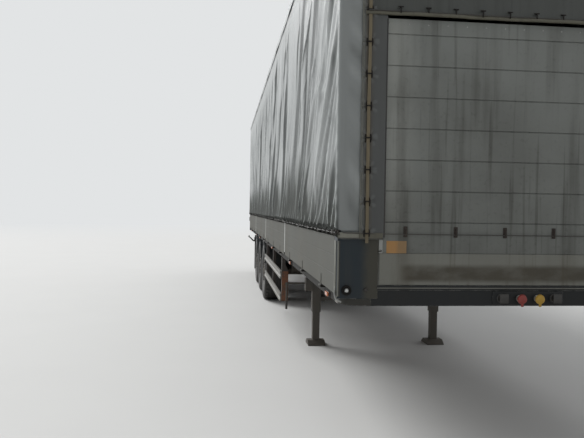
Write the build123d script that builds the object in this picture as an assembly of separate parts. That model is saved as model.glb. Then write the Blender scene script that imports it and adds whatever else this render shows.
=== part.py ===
# Three-axle semi trailer with hinged drop sides, a fabric cover and two rear doors.
# Millimetres. X points forward, Y to the left, Z up from the ground.
# The origin is on the ground, in the middle of the overall length and width.
import os
from math import cos, pi, radians, sin

from build123d import *

# Overall box
BODY_LENGTH = 13620      # front face of the cover to the outer face of the rear doors
BODY_WIDTH = 2550
BODY_HEIGHT = 4000
FRONT_REACH = 60         # line couplings ahead of the front face
REAR_REACH = 90          # rubber buffers behind the doors
FIT = 0.05               # radial clearance of a shaft in its bore
CLEAR = 6                # gap round pieces that move

# Chassis heights and widths
COUPLING_HEIGHT = 1140   # underside of the coupling plate
COUPLING_PLATE = 10
NECK_HEIGHT = 75         # beam height over the coupling plate
FLOOR_THICKNESS = 28
BEAM_DEPTH = 380         # beam height behind the goose neck
BEAM_TAIL_DEPTH = 220
BEAM_SPACING = 1300
BEAM_FLANGE = 120
BEAM_FLANGE_T = 12
BEAM_WEB = 8
NECK_END = 2700          # back from the front face, as are the next ones
NECK_SLOPE_END = 3350
TAIL_LENGTH = 920        # level tail of the beams, ahead of the doors' outer face
TAIL_SLOPE = 1000        # length of the slope ahead of the tail
KINGPIN_BACK = 1650
KINGPIN_PROTRUSION = 84
KINGPIN_SHOULDER = 36.5
KINGPIN_NECK = 25.4
KINGPIN_END = 35.75
KINGPIN_NECK_LENGTH = 35
KINGPIN_END_LENGTH = 19
KINGPIN_FLANGE = 85
KINGPIN_FLANGE_T = 15
COUPLING_PLATE_WIDTH = 1420
OUTRIGGER_TIP = 45       # height of a cross-member's outer end
MEMBER_HEIGHT = 70
MEMBER_WIDTH = 45
MEMBER_WALL = 5
MEMBER_PITCH = 620
MEMBER_FIRST = 320
RAIL_HEIGHT = 100
RAIL_FLANGE = 50
RAIL_WALL = 5
RAIL_INSET = 43          # rail's outer face in from the widest plane
CORNER_RADIUS = 130
FRONT_SETBACK = 14       # steel behind the front plane of the cover

# Drop sides
BOARD_BOTTOM = 1195
BOARD_TOP = 1560
BOARD_THICKNESS = 25
BOARD_INSET = 17         # board's outer face in from the widest plane
BAYS = 4
POST_WIDTH = 90
POST_DEPTH = 45
HINGE_DROP = 15          # hinge pin under the board's lower edge
HINGE_INSET = 11         # hinge pin in from the widest plane
HINGE_RADIUS = 9
HINGE_WIDTH = 40
HINGES_PER_BOARD = 3
HINGE_STRAP = 4
HINGE_STRAP_HEIGHT = 70  # over the board's lower edge
HINGE_GAP = 1            # between a board's knuckle and the lug beside it
BOARD_GROOVES = 2
GROOVE_DEPTH = 3

# Cover and its frame
HEM_HEIGHT = 1568
CLOTH = 10               # thickness of the plain cloth solids
CLOTH_GAP = 3            # between two sheets' edges
FRONT_HEM = 25           # front sheet's hem over the headboard
COVER_CORNER_STRIP = 310 # width of the cover's strip on the front face
COVER_REAR_GAP = 30      # cover's rear edge ahead of the rear posts' outer face
HEADBOARD_HALF = 995
HEADBOARD_THICKNESS = 30
BASE_PLATE_TOP = 1463
BASE_PLATE_STEP = 5      # base plate behind its lower lip and the planks
PLANK_PITCH = 197
PLANKS = 7
PLANK_GROOVE = 6
CAP_HEIGHT = 95
ROOF_RAIL_HEIGHT = 80
ROOF_RAIL_DEPTH = 60
ROOF_CLEARANCE = 8
BOW_HEIGHT = 40
BOW_WIDTH = 30
BOWS = 20
FIRST_BOW = 700          # behind the steel front
LAST_BOW = 600           # ahead of the rear posts
SLAT_LOW = 250           # lowest slat over the board's top
SLAT_HIGH = 350          # highest slat under the roof rail
SLAT_HEIGHT = 100
SLAT_THICKNESS = 22
SLAT_ROWS = 4
EDGE_RADIUS = 25
ROOF_TURN_DOWN = 90

# Front corner posts
CORNER_POST = 90
CORNER_PLATE_TOP = 1550
CORNER_PLATE_BOTTOM = 1172
CORNER_PLATE_WIDTH = 262
CORNER_PLATE_T = 4

# Rear frame and doors
REAR_POST_WIDTH = 85
REAR_POST_DEPTH = 80
SILL_HEIGHT = 128
HEADER_HEIGHT = 110
DOOR_THICKNESS = 40
DOOR_PANEL = 24
DOOR_BORDER = 70
DOOR_HINGE_RADIUS = 11
DOOR_HINGE_HEIGHT = 60
DOOR_HINGES = 4
DOOR_HINGE_PIN = 6
DOOR_HINGE_END = 180     # first and last hinge from the leaf's ends
DOOR_LUG = 20            # height of a fixed hinge lug
DOOR_LUG_GAP = 2
DOOR_STRAP = 5
ROD_RADIUS = 13
ROD_STANDOFF = 30
ROD_GUIDES = 4
ROD_GUIDE_HEIGHT = 40
ROD_GUIDE_WALL = 3
ROD_GUIDE_FOOT = 20
ROD_END = 20             # rod's top under the frame's top
ROD_PLACES = (300, 900)  # out from the middle
ROD_BOTTOM = 1200
HANDLE_LENGTH = 280
HANDLE_HEIGHT = 1720
HANDLE_BAR = 28
HANDLE_T = 12
KEEPER_LENGTH = 50
BUFFER_WIDTH = 90
BUFFER_HEIGHT = 100
BUFFER_DROP = 10         # under the floor's top

# Wheels
TYRE_RADIUS = 535
TYRE_WIDTH = 385
TYRE_BULGE = 425         # radius where the tyre is widest
TYRE_SHOULDER = 18       # drop of the shoulder from the tread
TYRE_SHOULDER_HALF = 178
TYRE_TREAD_HALF = 155
TYRE_BEAD_HALF = 137
TRACK = 2040
RIM_RADIUS = 298
RIM_BARREL = 270
RIM_WIDTH = 324          # over both flanges
RIM_DISC = 12
RIM_OFFSET = 120         # disc's inner face outwards from the wheel's middle
HAND_HOLES = 8
HAND_HOLE_RADIUS = 20
HAND_HOLE_CIRCLE = 238
HUB_RADIUS = 95
HUB_OUT = 56
HUB_WALL = 10
DRUM_RADIUS = 205
DRUM_DEPTH = 190         # the brake drum's length behind the disc
SPINDLE_RADIUS = 42
REAR_OVERHANG = 2900     # last axle ahead of the doors' outer face
AXLE_SPACING = 1310
AXLES = 3

# Axles and suspension
AXLE_RADIUS = 63.5
ARM_WIDTH = 100
ARM_HEIGHT = 70
ARM_PAD = 60
HANGER_AHEAD = 500
HANGER_WIDTH = 120
HANGER_LENGTH = 200
SPRING_BEHIND = 380
SPRING_RADIUS = 140
PISTON_RADIUS = 82
PISTON_TOP = 75
CHAMBER_RADIUS = 85
CHAMBER_LENGTH = 150
CHAMBER_Y = 400
CHAMBER_AHEAD = 30       # from the axle tube to the chamber
CHAMBER_RISE = 60
CHAMBER_BRACKET = 40     # half width
EYE_RADIUS = 55
EYE_PIN = 15
HANGER_TOP_PLATE = 14
HANGER_TOE = 130         # length of a hanger's lower end
HANGER_BELOW_EYE = 75
SPRING_SEAT = 30         # height of the arm's tail under the spring
SPRING_SEAT_HALF = 90
SPRING_NECK = 112        # radius of the bellows' top plate
SPRING_LOBE = 62         # from the piston's or the beam's end to the widest place of a lobe
SPRING_WAIST = 118       # radius between the bellows' two lobes
ARM_REST = 90            # half length of the arm's rest on the axle

# Landing gear
LEGS_BACK = 4080
LEG_OUTER = 110
LEG_INNER = 88
LEG_TOP = 1130
LEG_PLATE = 12
LEG_OUTER_BOTTOM = 420
FOOT_LENGTH = 260
FOOT_WIDTH = 220
FOOT_HEIGHT = 60
FOOT_SOLE = 12
FOOT_TOP = 120
LEG_PLATE_LENGTH = 260
LEG_PLATE_DROP = 20      # plate's top under the leg's top
SHAFT_RADIUS = 16
SHAFT_HEIGHT = 780
GEARBOX_LENGTH = 140
GEARBOX_DEPTH = 90
GEARBOX_BELOW = 90
GEARBOX_ABOVE = 70
CRANK_REACH = 330
CRANK_RADIUS = 12
CRANK_INSET = 60         # crank's end in from the rail's outer face
BRACE = 50
BRACE_REACH = 700
BRACE_BOTTOM = 560
BRACE_FOOT = 60
BRACE_IN = 5             # in from the beam's flange edge
BRACE_PAD = 30
BRACE_PAD_HEIGHT = 100
CROSS_BAR = 50

# Side guards, mudguards, flaps, bumper
GUARD_FRONT = 4150       # back from the front face
GUARD_GAP = 900          # rear end ahead of the first axle
GUARD_RAIL_T = 25
GUARD_RAIL_HEIGHT = 100
GUARD_INSET = 32
GUARD_RAIL_TOPS = (930, 640)
GUARD_RAIL_GROOVE = 8    # depth of the groove along a rail
GUARD_RAIL_LIP = 28      # height of each lip beside the groove
GUARD_POSTS = 3
GUARD_POST = 60
GUARD_POST_DEPTH = 45
GUARD_OVERHANG = 150     # rails behind the last post
GUARD_WING = 110         # depth of the front post's wide lower plate
GUARD_WING_T = 8
GUARD_WING_TAPER = 90
MUDGUARD_RADIUS = 575
MUDGUARD_T = 4
MUDGUARD_SWEEP = 70      # degrees each way from the top
MUDGUARD_WIDTH = 400
STAY_ANGLE = 40          # degrees each way from the mudguard's top
STAY_WIDTH = 40
STAY_T = 10
STAY_SUNK = 1            # how deep a stay sits in the mudguard's skin
FLAP_BEHIND = 680        # flaps behind the last axle
FLAP_BOTTOM = 260
FLAP_TOP = 1080
FLAP_T = 8
FLAP_BAR = 40
BUMPER_AHEAD = 200       # bumper ahead of the doors' outer face
BUMPER_SIZE = 100
BUMPER_BOTTOM = 420
BUMPER_WIDTH = 2230
BUMPER_ARM = 80
BUMPER_ARM_TOP = 260     # length of an arm where it meets the beam
TANK_RADIUS = 120
TANK_DOME = 45
TANK_DOME_RADIUS = 85
TANK_LENGTH = 760
TANK_BACK = 5500         # the tanks hang from the two cross-members nearest to this
TANK_GAP = 40
TANK_STRAP = 40
TANK_DROP = 20
LAMP_LENGTH = 360
LAMP_HEIGHT = 120
LAMP_DEPTH = 60
LAMP_INSET = 145
LAMP_TOP = 930
LAMP_BAR = 40
ARM_LAMP_REACH = 125     # rubber arm of the outline lamps, out from the rear lamps
ARM_LAMP_RISE = 120
ARM_LAMP_ROOT = 20
ARM_LAMP_NECK = 13
ARM_LAMP_HEAD = 26
ARM_LAMP_LENGTH = 45
SIDE_LAMPS = (450, 2914, 5497)
LAST_SIDE_LAMP = 1020    # ahead of the doors' outer face
SIDE_LAMP_LENGTH = 110
SIDE_LAMP_HEIGHT = 36
SIDE_LAMP_T = 22
SIDE_LAMP_RISE = 2       # over the rail's lower edge
FRONT_LAMP_RADIUS = 33
FRONT_LAMP_T = 25
FRONT_LAMP_IN = 57       # in from the corner plate's outer edge
FRONT_LAMP_UP = 53       # over the corner plate's lower edge
LINE_COUPLINGS = ((60, 32), (180, 26))   # place out from the middle, radius

# Places that follow from the sizes
FRONT_X = (BODY_LENGTH + FRONT_REACH + REAR_REACH) / 2 - FRONT_REACH
REAR_X = FRONT_X - BODY_LENGTH
HALF_WIDTH = BODY_WIDTH / 2
NECK_BOTTOM = COUPLING_HEIGHT + COUPLING_PLATE
BEAM_TOP = NECK_BOTTOM + NECK_HEIGHT
FLOOR_TOP = BEAM_TOP + FLOOR_THICKNESS
BEAM_BOTTOM = BEAM_TOP - BEAM_DEPTH
BEAM_Y = BEAM_SPACING / 2
RAIL_FACE = HALF_WIDTH - RAIL_INSET
RAIL_INNER = RAIL_FACE - RAIL_WALL
BOARD_FACE = HALF_WIDTH - BOARD_INSET
BOARD_BACK = BOARD_FACE - BOARD_THICKNESS
HINGE_Y = HALF_WIDTH - HINGE_INSET
HINGE_Z = BOARD_BOTTOM - HINGE_DROP
STEEL_FRONT = FRONT_X - FRONT_SETBACK
MEMBER_FRONT = STEEL_FRONT - CORNER_PLATE_T
HEADBOARD_BACK = STEEL_FRONT - HEADBOARD_THICKNESS
POST_REAR = REAR_X + CLEAR
FRAME_TOP = BODY_HEIGHT - CLOTH - ROOF_CLEARANCE
DOOR_BOTTOM = FLOOR_TOP + CLEAR
DOOR_TOP = FRAME_TOP - HEADER_HEIGHT - CLEAR
DOOR_EDGE = BOARD_FACE - REAR_POST_WIDTH - CLEAR
DOOR_HINGE_X = REAR_X - DOOR_HINGE_RADIUS - 1
DOOR_HINGE_Y = BOARD_FACE + 4
WHEEL_Y = TRACK / 2
AXLE_X = [REAR_X + REAR_OVERHANG + AXLE_SPACING * n for n in reversed(range(AXLES))]


def box(x0, x1, y0, y1, z0, z1):
    """A block between two corners."""
    centre = ((x0 + x1) / 2, (y0 + y1) / 2, (z0 + z1) / 2)
    return Pos(*centre) * Box(abs(x1 - x0), abs(y1 - y0), abs(z1 - z0))


def prism_x(points, x0, x1):
    """A (y, z) outline drawn out along X."""
    face = make_face(Polyline(*[(x0, y, z) for y, z in points], close=True))
    return extrude(face, amount=x1 - x0, dir=(1, 0, 0))


def prism_y(points, y0, y1):
    """An (x, z) outline drawn out along Y."""
    face = make_face(Polyline(*[(x, y0, z) for x, z in points], close=True))
    return extrude(face, amount=y1 - y0, dir=(0, 1, 0))


def rod_x(x0, x1, y, z, radius):
    """A round bar along X."""
    return Pos((x0 + x1) / 2, y, z) * Rot(0, 90, 0) * Cylinder(radius, abs(x1 - x0))


def rod_y(x, y0, y1, z, radius):
    """A round bar along Y."""
    return Pos(x, (y0 + y1) / 2, z) * Rot(90, 0, 0) * Cylinder(radius, abs(y1 - y0))


def rod_z(x, y, z0, z1, radius):
    """A round bar along Z."""
    return Pos(x, y, (z0 + z1) / 2) * Cylinder(radius, abs(z1 - z0))


def prism_z(points, z0, z1):
    """An (x, y) outline drawn out along Z."""
    face = make_face(Polyline(*[(x, y, z0) for x, y in points], close=True))
    return extrude(face, amount=z1 - z0, dir=(0, 0, 1))


def turned(profile, axis):
    """A closed outline of (radius, place along the axis) turned round Y or Z."""
    if axis == Axis.Z:
        points = [(r, 0, along) for r, along in profile]
    else:
        points = [(r, along, 0) for r, along in profile]
    return revolve(make_face(Polyline(*points, close=True)), axis=axis)


def other_side(shape):
    """The same piece on the right side of the trailer."""
    return mirror(shape, about=Plane.XZ)


def both(shape):
    """A piece with its twin on the other side."""
    return [shape, other_side(shape)]


def save(name, *shapes):
    """Write one node from its solids."""
    solids = []
    for shape in shapes:
        group = shape if isinstance(shape, (list, tuple)) else [shape]
        for item in group:
            solids.extend(item.solids())
    whole = solids[0] if len(solids) == 1 else Compound(solids)
    export_step(whole, f"parts/{name}.step")


def back(distance):
    """X of a place that many millimetres behind the front face."""
    return FRONT_X - distance


def make_beams():
    """Two goosenecked I-beams, left and right."""
    rear = POST_REAR + REAR_POST_DEPTH
    lower = [
        (MEMBER_FRONT - RAIL_FLANGE, NECK_BOTTOM),
        (back(NECK_END), NECK_BOTTOM),
        (back(NECK_SLOPE_END), BEAM_BOTTOM),
        (REAR_X + TAIL_LENGTH + TAIL_SLOPE, BEAM_BOTTOM),
        (REAR_X + TAIL_LENGTH, BEAM_TOP - BEAM_TAIL_DEPTH),
        (rear, BEAM_TOP - BEAM_TAIL_DEPTH),
    ]
    front = lower[0][0]
    raised = [(x, z + BEAM_FLANGE_T) for x, z in lower]
    web_y = BEAM_Y - BEAM_WEB / 2
    flange_y = BEAM_Y - BEAM_FLANGE / 2
    web = prism_y(lower + [(rear, BEAM_TOP), (front, BEAM_TOP)], web_y, web_y + BEAM_WEB)
    bottom = prism_y(lower + raised[::-1], flange_y, flange_y + BEAM_FLANGE)
    top = box(rear, front, flange_y, flange_y + BEAM_FLANGE, BEAM_TOP - BEAM_FLANGE_T, BEAM_TOP)
    save("main_beams", both(web + bottom + top))


def member_places():
    """X of every cross-member's rear face."""
    places = []
    distance = MEMBER_FIRST
    while distance < BODY_LENGTH - MEMBER_FIRST:
        places.append(back(distance))
        distance += MEMBER_PITCH
    return places


def make_cross_members():
    """Channels between the beams, and tapered outriggers out to the side rails."""
    z1 = BEAM_TOP
    z0 = BEAM_TOP - MEMBER_HEIGHT
    t = MEMBER_WALL
    inner = BEAM_Y - BEAM_FLANGE / 2
    root = BEAM_Y + BEAM_FLANGE / 2
    tip = RAIL_FACE - RAIL_FLANGE
    outline = [(root, z1), (tip, z1), (tip, z1 - OUTRIGGER_TIP), (root, z0)]
    solids = []
    for x in member_places():
        x1 = x + MEMBER_WIDTH
        channel = [(x, z0), (x1, z0), (x1, z0 + t), (x + t, z0 + t),
                   (x + t, z1 - t), (x1, z1 - t), (x1, z1), (x, z1)]
        solids.append(prism_y(channel, -inner, inner))
        outrigger = prism_x(outline, x, x + t) + box(x, x1, root, tip, z1 - t, z1)
        solids.extend(both(outrigger))
    save("cross_members", solids)


def make_outer_frame():
    """Channel rails along both sides and round the front corners."""
    z0 = BEAM_TOP - RAIL_HEIGHT
    z1 = BEAM_TOP
    inner = RAIL_FACE - RAIL_FLANGE
    corner_x = MEMBER_FRONT - CORNER_RADIUS
    rear = POST_REAR + REAR_POST_DEPTH
    outline = [(RAIL_FACE, z0), (RAIL_FACE, z1), (inner, z1), (inner, z1 - RAIL_WALL),
               (RAIL_INNER, z1 - RAIL_WALL), (RAIL_INNER, z0 + RAIL_WALL),
               (inner, z0 + RAIL_WALL), (inner, z0)]
    save("side_rails", both(prism_x(outline, rear, corner_x)))

    def plan(inset):
        """Front end of the frame seen from above, in from its outer line."""
        radius = CORNER_RADIUS - inset
        side = RAIL_FACE - inset
        front = MEMBER_FRONT - inset
        straight = RAIL_FACE - CORNER_RADIUS
        turn = radius * sin(pi / 4)
        right = ThreePointArc((corner_x, -side, z0), (corner_x + turn, -straight - turn, z0),
                              (front, -straight, z0))
        across = Line((front, -straight, z0), (front, straight, z0))
        left = ThreePointArc((front, straight, z0), (corner_x + turn, straight + turn, z0),
                             (corner_x, side, z0))
        close = Line((corner_x, side, z0), (corner_x, -side, z0))
        return make_face(Wire([right, across, left, close]))

    outer = extrude(plan(0), amount=RAIL_HEIGHT, dir=(0, 0, 1))
    hollow = extrude(plan(RAIL_FLANGE), amount=RAIL_HEIGHT, dir=(0, 0, 1))
    groove = extrude(plan(RAIL_WALL), amount=RAIL_HEIGHT - 2 * RAIL_WALL, dir=(0, 0, 1))
    member = outer - hollow - Pos(0, 0, RAIL_WALL) * groove
    save("front_member", member)


def make_coupling():
    """Coupling plate with the kingpin in the middle of it."""
    x = back(KINGPIN_BACK)
    half = COUPLING_PLATE_WIDTH / 2
    plate = box(MEMBER_FRONT - RAIL_FLANGE, back(NECK_END), -half, half, COUPLING_HEIGHT, NECK_BOTTOM)
    plate = plate - rod_z(x, 0, COUPLING_HEIGHT - 1, NECK_BOTTOM + 1, KINGPIN_SHOULDER)
    save("coupling_plate", plate)
    z_end = COUPLING_HEIGHT - KINGPIN_PROTRUSION
    z_flange = z_end + KINGPIN_END_LENGTH
    z_neck = z_flange + KINGPIN_NECK_LENGTH
    profile = [(0, z_end), (KINGPIN_END, z_end), (KINGPIN_END, z_flange), (KINGPIN_NECK, z_flange),
               (KINGPIN_NECK, z_neck), (KINGPIN_SHOULDER, z_neck), (KINGPIN_SHOULDER, NECK_BOTTOM),
               (KINGPIN_FLANGE, NECK_BOTTOM), (KINGPIN_FLANGE, NECK_BOTTOM + KINGPIN_FLANGE_T),
               (0, NECK_BOTTOM + KINGPIN_FLANGE_T)]
    face = make_face(Polyline(*[(r, 0, z) for r, z in profile], close=True))
    save("kingpin", Pos(x, 0, 0) * revolve(face, axis=Axis.Z))


def make_floor():
    """Floor boards over the beams, rails and members."""
    half = BOARD_FACE - POST_DEPTH
    front = MEMBER_FRONT - CORNER_POST
    floor = box(POST_REAR + REAR_POST_DEPTH, front, -half, half, BEAM_TOP, FLOOR_TOP)
    floor += box(front, HEADBOARD_BACK, -HEADBOARD_HALF, HEADBOARD_HALF, BEAM_TOP, FLOOR_TOP)
    save("floor", floor)


def make_headboard():
    """Front wall of grooved planks on a base plate with a lip, and a cap rail."""
    half = HEADBOARD_HALF
    x0 = HEADBOARD_BACK
    x1 = STEEL_FRONT
    top = BASE_PLATE_TOP + PLANKS * PLANK_PITCH
    outline = [(x0, BEAM_TOP), (x1, BEAM_TOP), (x1, FLOOR_TOP), (x1 - BASE_PLATE_STEP, FLOOR_TOP),
               (x1 - BASE_PLATE_STEP, BASE_PLATE_TOP)]
    for plank in range(PLANKS):
        z = BASE_PLATE_TOP + plank * PLANK_PITCH
        outline += [(x1, z), (x1, z + PLANK_PITCH - PLANK_GROOVE)]
        outline += [(x1 - PLANK_GROOVE, z + PLANK_PITCH - PLANK_GROOVE), (x1 - PLANK_GROOVE, z + PLANK_PITCH)]
    outline += [(x1, top), (x1, top + CAP_HEIGHT), (x0, top + CAP_HEIGHT)]
    save("headboard", prism_y(outline, -half, half))


def make_front_posts():
    """Steel corner posts with a wide plate at the bottom."""
    y1 = BOARD_FACE
    x1 = MEMBER_FRONT
    post = box(x1 - CORNER_POST, x1, y1 - CORNER_POST, y1, BEAM_TOP, FRAME_TOP - ROOF_RAIL_HEIGHT)
    plate = box(x1, STEEL_FRONT, y1 - CORNER_PLATE_WIDTH, y1, CORNER_PLATE_BOTTOM, CORNER_PLATE_TOP)
    save("front_posts", both(post + plate))


def post_places():
    """X of the middle of each side post, front to rear."""
    start = MEMBER_FRONT - CORNER_POST
    end = POST_REAR + REAR_POST_DEPTH
    bay = (start - end - (BAYS - 1) * POST_WIDTH) / BAYS
    return [start - (bay + POST_WIDTH) * n - bay - POST_WIDTH / 2 for n in range(BAYS - 1)]


def bay_spans():
    """Rear and front X of each open bay between posts."""
    start = MEMBER_FRONT - CORNER_POST
    end = POST_REAR + REAR_POST_DEPTH
    edges = [start]
    for x in post_places():
        edges += [x + POST_WIDTH / 2, x - POST_WIDTH / 2]
    edges.append(end)
    return [(edges[2 * n + 1], edges[2 * n]) for n in range(BAYS)]


def slat_rows():
    """Bottom height of each row of slats."""
    low = BOARD_TOP + SLAT_LOW
    high = FRAME_TOP - ROOF_RAIL_HEIGHT - SLAT_HIGH
    step = (high - low) / (SLAT_ROWS - 1)
    return [low + n * step for n in range(SLAT_ROWS)]


def make_side_frames():
    """Posts between the drop sides, with the battens that keep the cover out."""
    y0 = BOARD_FACE - POST_DEPTH
    top = FRAME_TOP - ROOF_RAIL_HEIGHT
    middle = (y0 + BOARD_FACE) / 2
    frame = None
    for x in post_places():
        post = box(x - POST_WIDTH / 2, x + POST_WIDTH / 2, y0, BOARD_FACE, BEAM_TOP, top)
        frame = post if frame is None else frame + post
    for x0, x1 in bay_spans():
        for z in slat_rows():
            frame += box(x0, x1, middle - SLAT_THICKNESS / 2, middle + SLAT_THICKNESS / 2, z, z + SLAT_HEIGHT)
    save("side_frame_left", frame)
    save("side_frame_right", other_side(frame))


def make_roof_frame():
    """Roof rails, headers and bows."""
    rear = POST_REAR
    y1 = BOARD_FACE
    z0 = FRAME_TOP - ROOF_RAIL_HEIGHT
    rail = box(rear + REAR_POST_DEPTH, MEMBER_FRONT, y1 - ROOF_RAIL_DEPTH, y1, z0, FRAME_TOP)
    header = box(MEMBER_FRONT - ROOF_RAIL_DEPTH, MEMBER_FRONT,
                 -y1 + ROOF_RAIL_DEPTH, y1 - ROOF_RAIL_DEPTH, z0, FRAME_TOP)
    frame = rail + other_side(rail) + header
    first = STEEL_FRONT - FIRST_BOW
    step = (first - rear - LAST_BOW) / (BOWS - 1)
    for n in range(BOWS):
        x = first - n * step
        frame += box(x - BOW_WIDTH / 2, x + BOW_WIDTH / 2, -y1 + ROOF_RAIL_DEPTH, y1 - ROOF_RAIL_DEPTH,
                     FRAME_TOP - BOW_HEIGHT, FRAME_TOP)
    save("roof_frame", frame)


def make_rear_frame():
    """Rear corner posts, sill and header round the doors, with the doors' fixed hinge lugs and pins."""
    x0 = POST_REAR
    x1 = POST_REAR + REAR_POST_DEPTH
    y1 = BOARD_FACE
    y0 = DOOR_EDGE + CLEAR
    post = box(x0, x1, y0, y1, BEAM_TOP - RAIL_HEIGHT, FRAME_TOP)
    frame = post + other_side(post)
    frame += box(x0, x1, -y0, y0, FLOOR_TOP - SILL_HEIGHT, FLOOR_TOP)
    frame += box(x0, x1, -y0, y0, FRAME_TOP - HEADER_HEIGHT, FRAME_TOP)
    reach = DOOR_HINGE_HEIGHT / 2 + DOOR_LUG_GAP
    for z in door_hinge_heights():
        lower = door_lug(z - reach - DOOR_LUG)
        upper = door_lug(z + reach)
        pin_end = reach + DOOR_LUG / 2
        pin = rod_z(DOOR_HINGE_X, DOOR_HINGE_Y, z - pin_end, z + pin_end, DOOR_HINGE_PIN)
        hinge = lower + upper + pin
        frame += hinge + other_side(hinge)
    save("rear_frame", frame)


def door_lug(z0):
    """A fixed hinge lug with a round nose, from the post out to the pin."""
    x = DOOR_HINGE_X
    y = DOOR_HINGE_Y
    r = DOOR_HINGE_RADIUS
    nose = ThreePointArc((x, y - r, z0), (x - r, y, z0), (x, y + r, z0))
    flank = Polyline((x, y + r, z0), (POST_REAR, BOARD_FACE, z0), (POST_REAR, y - r, z0), (x, y - r, z0))
    return extrude(make_face(Wire([nose, *flank.edges()])), amount=DOOR_LUG, dir=(0, 0, 1))


def door_hinge_heights():
    """Heights of the door hinges."""
    low = DOOR_BOTTOM + DOOR_HINGE_END
    step = (DOOR_TOP - DOOR_HINGE_END - low) / (DOOR_HINGES - 1)
    return [low + n * step for n in range(DOOR_HINGES)]


def make_doors():
    """Left and right door leaves with their hinge straps, and locking rods in guides."""
    half_gap = CLEAR / 2
    x_out = REAR_X
    leaf = box(x_out, x_out + DOOR_THICKNESS, half_gap, DOOR_EDGE, DOOR_BOTTOM, DOOR_TOP)
    recess = (DOOR_THICKNESS - DOOR_PANEL) / 2
    for x0, x1 in ((x_out, x_out + recess), (x_out + DOOR_THICKNESS - recess, x_out + DOOR_THICKNESS)):
        leaf -= box(x0, x1, half_gap + DOOR_BORDER, DOOR_EDGE - DOOR_BORDER,
                    DOOR_BOTTOM + DOOR_BORDER, DOOR_TOP - DOOR_BORDER)
    save("door_left", leaf)
    save("door_right", other_side(leaf))

    gear = []
    for z in door_hinge_heights():
        z0 = z - DOOR_HINGE_HEIGHT / 2
        z1 = z + DOOR_HINGE_HEIGHT / 2
        strap = box(x_out - DOOR_STRAP, x_out, DOOR_EDGE - DOOR_BORDER, DOOR_HINGE_Y, z0, z1)
        knuckle = rod_z(DOOR_HINGE_X, DOOR_HINGE_Y, z0, z1, DOOR_HINGE_RADIUS)
        bore = rod_z(DOOR_HINGE_X, DOOR_HINGE_Y, z0 - 1, z1 + 1, DOOR_HINGE_PIN + FIT)
        gear.append(strap + knuckle - bore)
    rod_x_place = x_out - ROD_STANDOFF
    panel_x = x_out + recess
    low = DOOR_BOTTOM + (DOOR_BORDER - ROD_GUIDE_HEIGHT) / 2
    high = DOOR_TOP - (DOOR_BORDER + ROD_GUIDE_HEIGHT) / 2
    for y in ROD_PLACES:
        rod = rod_z(rod_x_place, y, ROD_BOTTOM, FRAME_TOP - ROD_END, ROD_RADIUS)
        inward = -1 if y > DOOR_EDGE / 2 else 1
        z1 = HANDLE_HEIGHT + HANDLE_BAR
        handle_back = rod_x_place + HANDLE_T
        rod += box(rod_x_place, handle_back, y, y + inward * HANDLE_LENGTH, HANDLE_HEIGHT, z1)
        gear.append(rod)
        end = y + inward * (HANDLE_LENGTH - KEEPER_LENGTH)
        gear.append(box(handle_back, panel_x, end, end + inward * KEEPER_LENGTH, HANDLE_HEIGHT, z1))
        for n in range(ROD_GUIDES):
            z = low + n * (high - low) / (ROD_GUIDES - 1)
            seat = x_out if n in (0, ROD_GUIDES - 1) else panel_x
            gear.append(rod_guide(rod_x_place, y, z, seat))
    save("door_gear_left", gear)
    save("door_gear_right", [other_side(item) for item in gear])


def rod_guide(x, y, z0, seat):
    """A bridge of bent strip over a locking rod, on two feet at the door's face."""
    t = ROD_GUIDE_WALL
    inner = ROD_RADIUS
    outer = inner + t
    foot = outer + ROD_GUIDE_FOOT
    top = x - outer
    half = [(seat, foot), (seat - t, foot), (seat - t, outer), (top, outer)]
    under = [(x - inner, inner), (seat, inner)]
    outline = [(px, y + py) for px, py in half]
    outline += [(px, y - py) for px, py in reversed(half)]
    outline += [(px, y - py) for px, py in reversed(under)]
    outline += [(px, y + py) for px, py in under]
    return prism_z(outline, z0, z0 + ROD_GUIDE_HEIGHT)


def hinge_places(x0, x1):
    """X of the hinges of the board between two ends."""
    step = (x1 - x0) / HINGES_PER_BOARD
    return [x0 + step * (n + 0.5) for n in range(HINGES_PER_BOARD)]


def make_boards():
    """Drop sides with hinge straps, and the lugs that carry them on the rails."""
    fixed = []
    for number, (x0, x1) in enumerate(bay_spans(), 1):
        outline = [(BOARD_BACK, BOARD_BOTTOM), (BOARD_FACE, BOARD_BOTTOM)]
        step = (BOARD_TOP - BOARD_BOTTOM) / (BOARD_GROOVES + 1)
        for n in range(1, BOARD_GROOVES + 1):
            z = BOARD_BOTTOM + n * step
            outline += [(BOARD_FACE, z - GROOVE_DEPTH), (BOARD_FACE - GROOVE_DEPTH, z),
                        (BOARD_FACE, z + GROOVE_DEPTH)]
        outline += [(BOARD_FACE, BOARD_TOP), (BOARD_BACK, BOARD_TOP)]
        board = prism_x(outline, x0 + CLEAR, x1 - CLEAR)
        for x in hinge_places(x0, x1):
            board += hinge_strap(x - HINGE_WIDTH / 2)
            fixed.extend(both(hinge_lug(x + HINGE_WIDTH / 2 + HINGE_GAP)))
        save(f"side_board_left_{number}", board)
        save(f"side_board_right_{number}", other_side(board))
    save("board_hinges", fixed)


def hinge_strap(x0):
    """Strap on a drop side's face, with the knuckle at its foot."""
    r = HINGE_RADIUS
    y0 = BOARD_FACE
    y1 = BOARD_FACE + HINGE_STRAP
    top = BOARD_BOTTOM + HINGE_STRAP_HEIGHT
    shoulder = HINGE_Z + (r ** 2 - (HINGE_Y - y1) ** 2) ** 0.5
    nose = ThreePointArc((x0, y1, shoulder), (x0, HINGE_Y + r, HINGE_Z), (x0, HINGE_Y, HINGE_Z - r))
    plate = Polyline((x0, HINGE_Y, HINGE_Z - r), (x0, y0, HINGE_Z - r), (x0, y0, top), (x0, y1, top),
                     (x0, y1, shoulder))
    return extrude(make_face(Wire([nose, *plate.edges()])), amount=HINGE_WIDTH, dir=(1, 0, 0))


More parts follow.
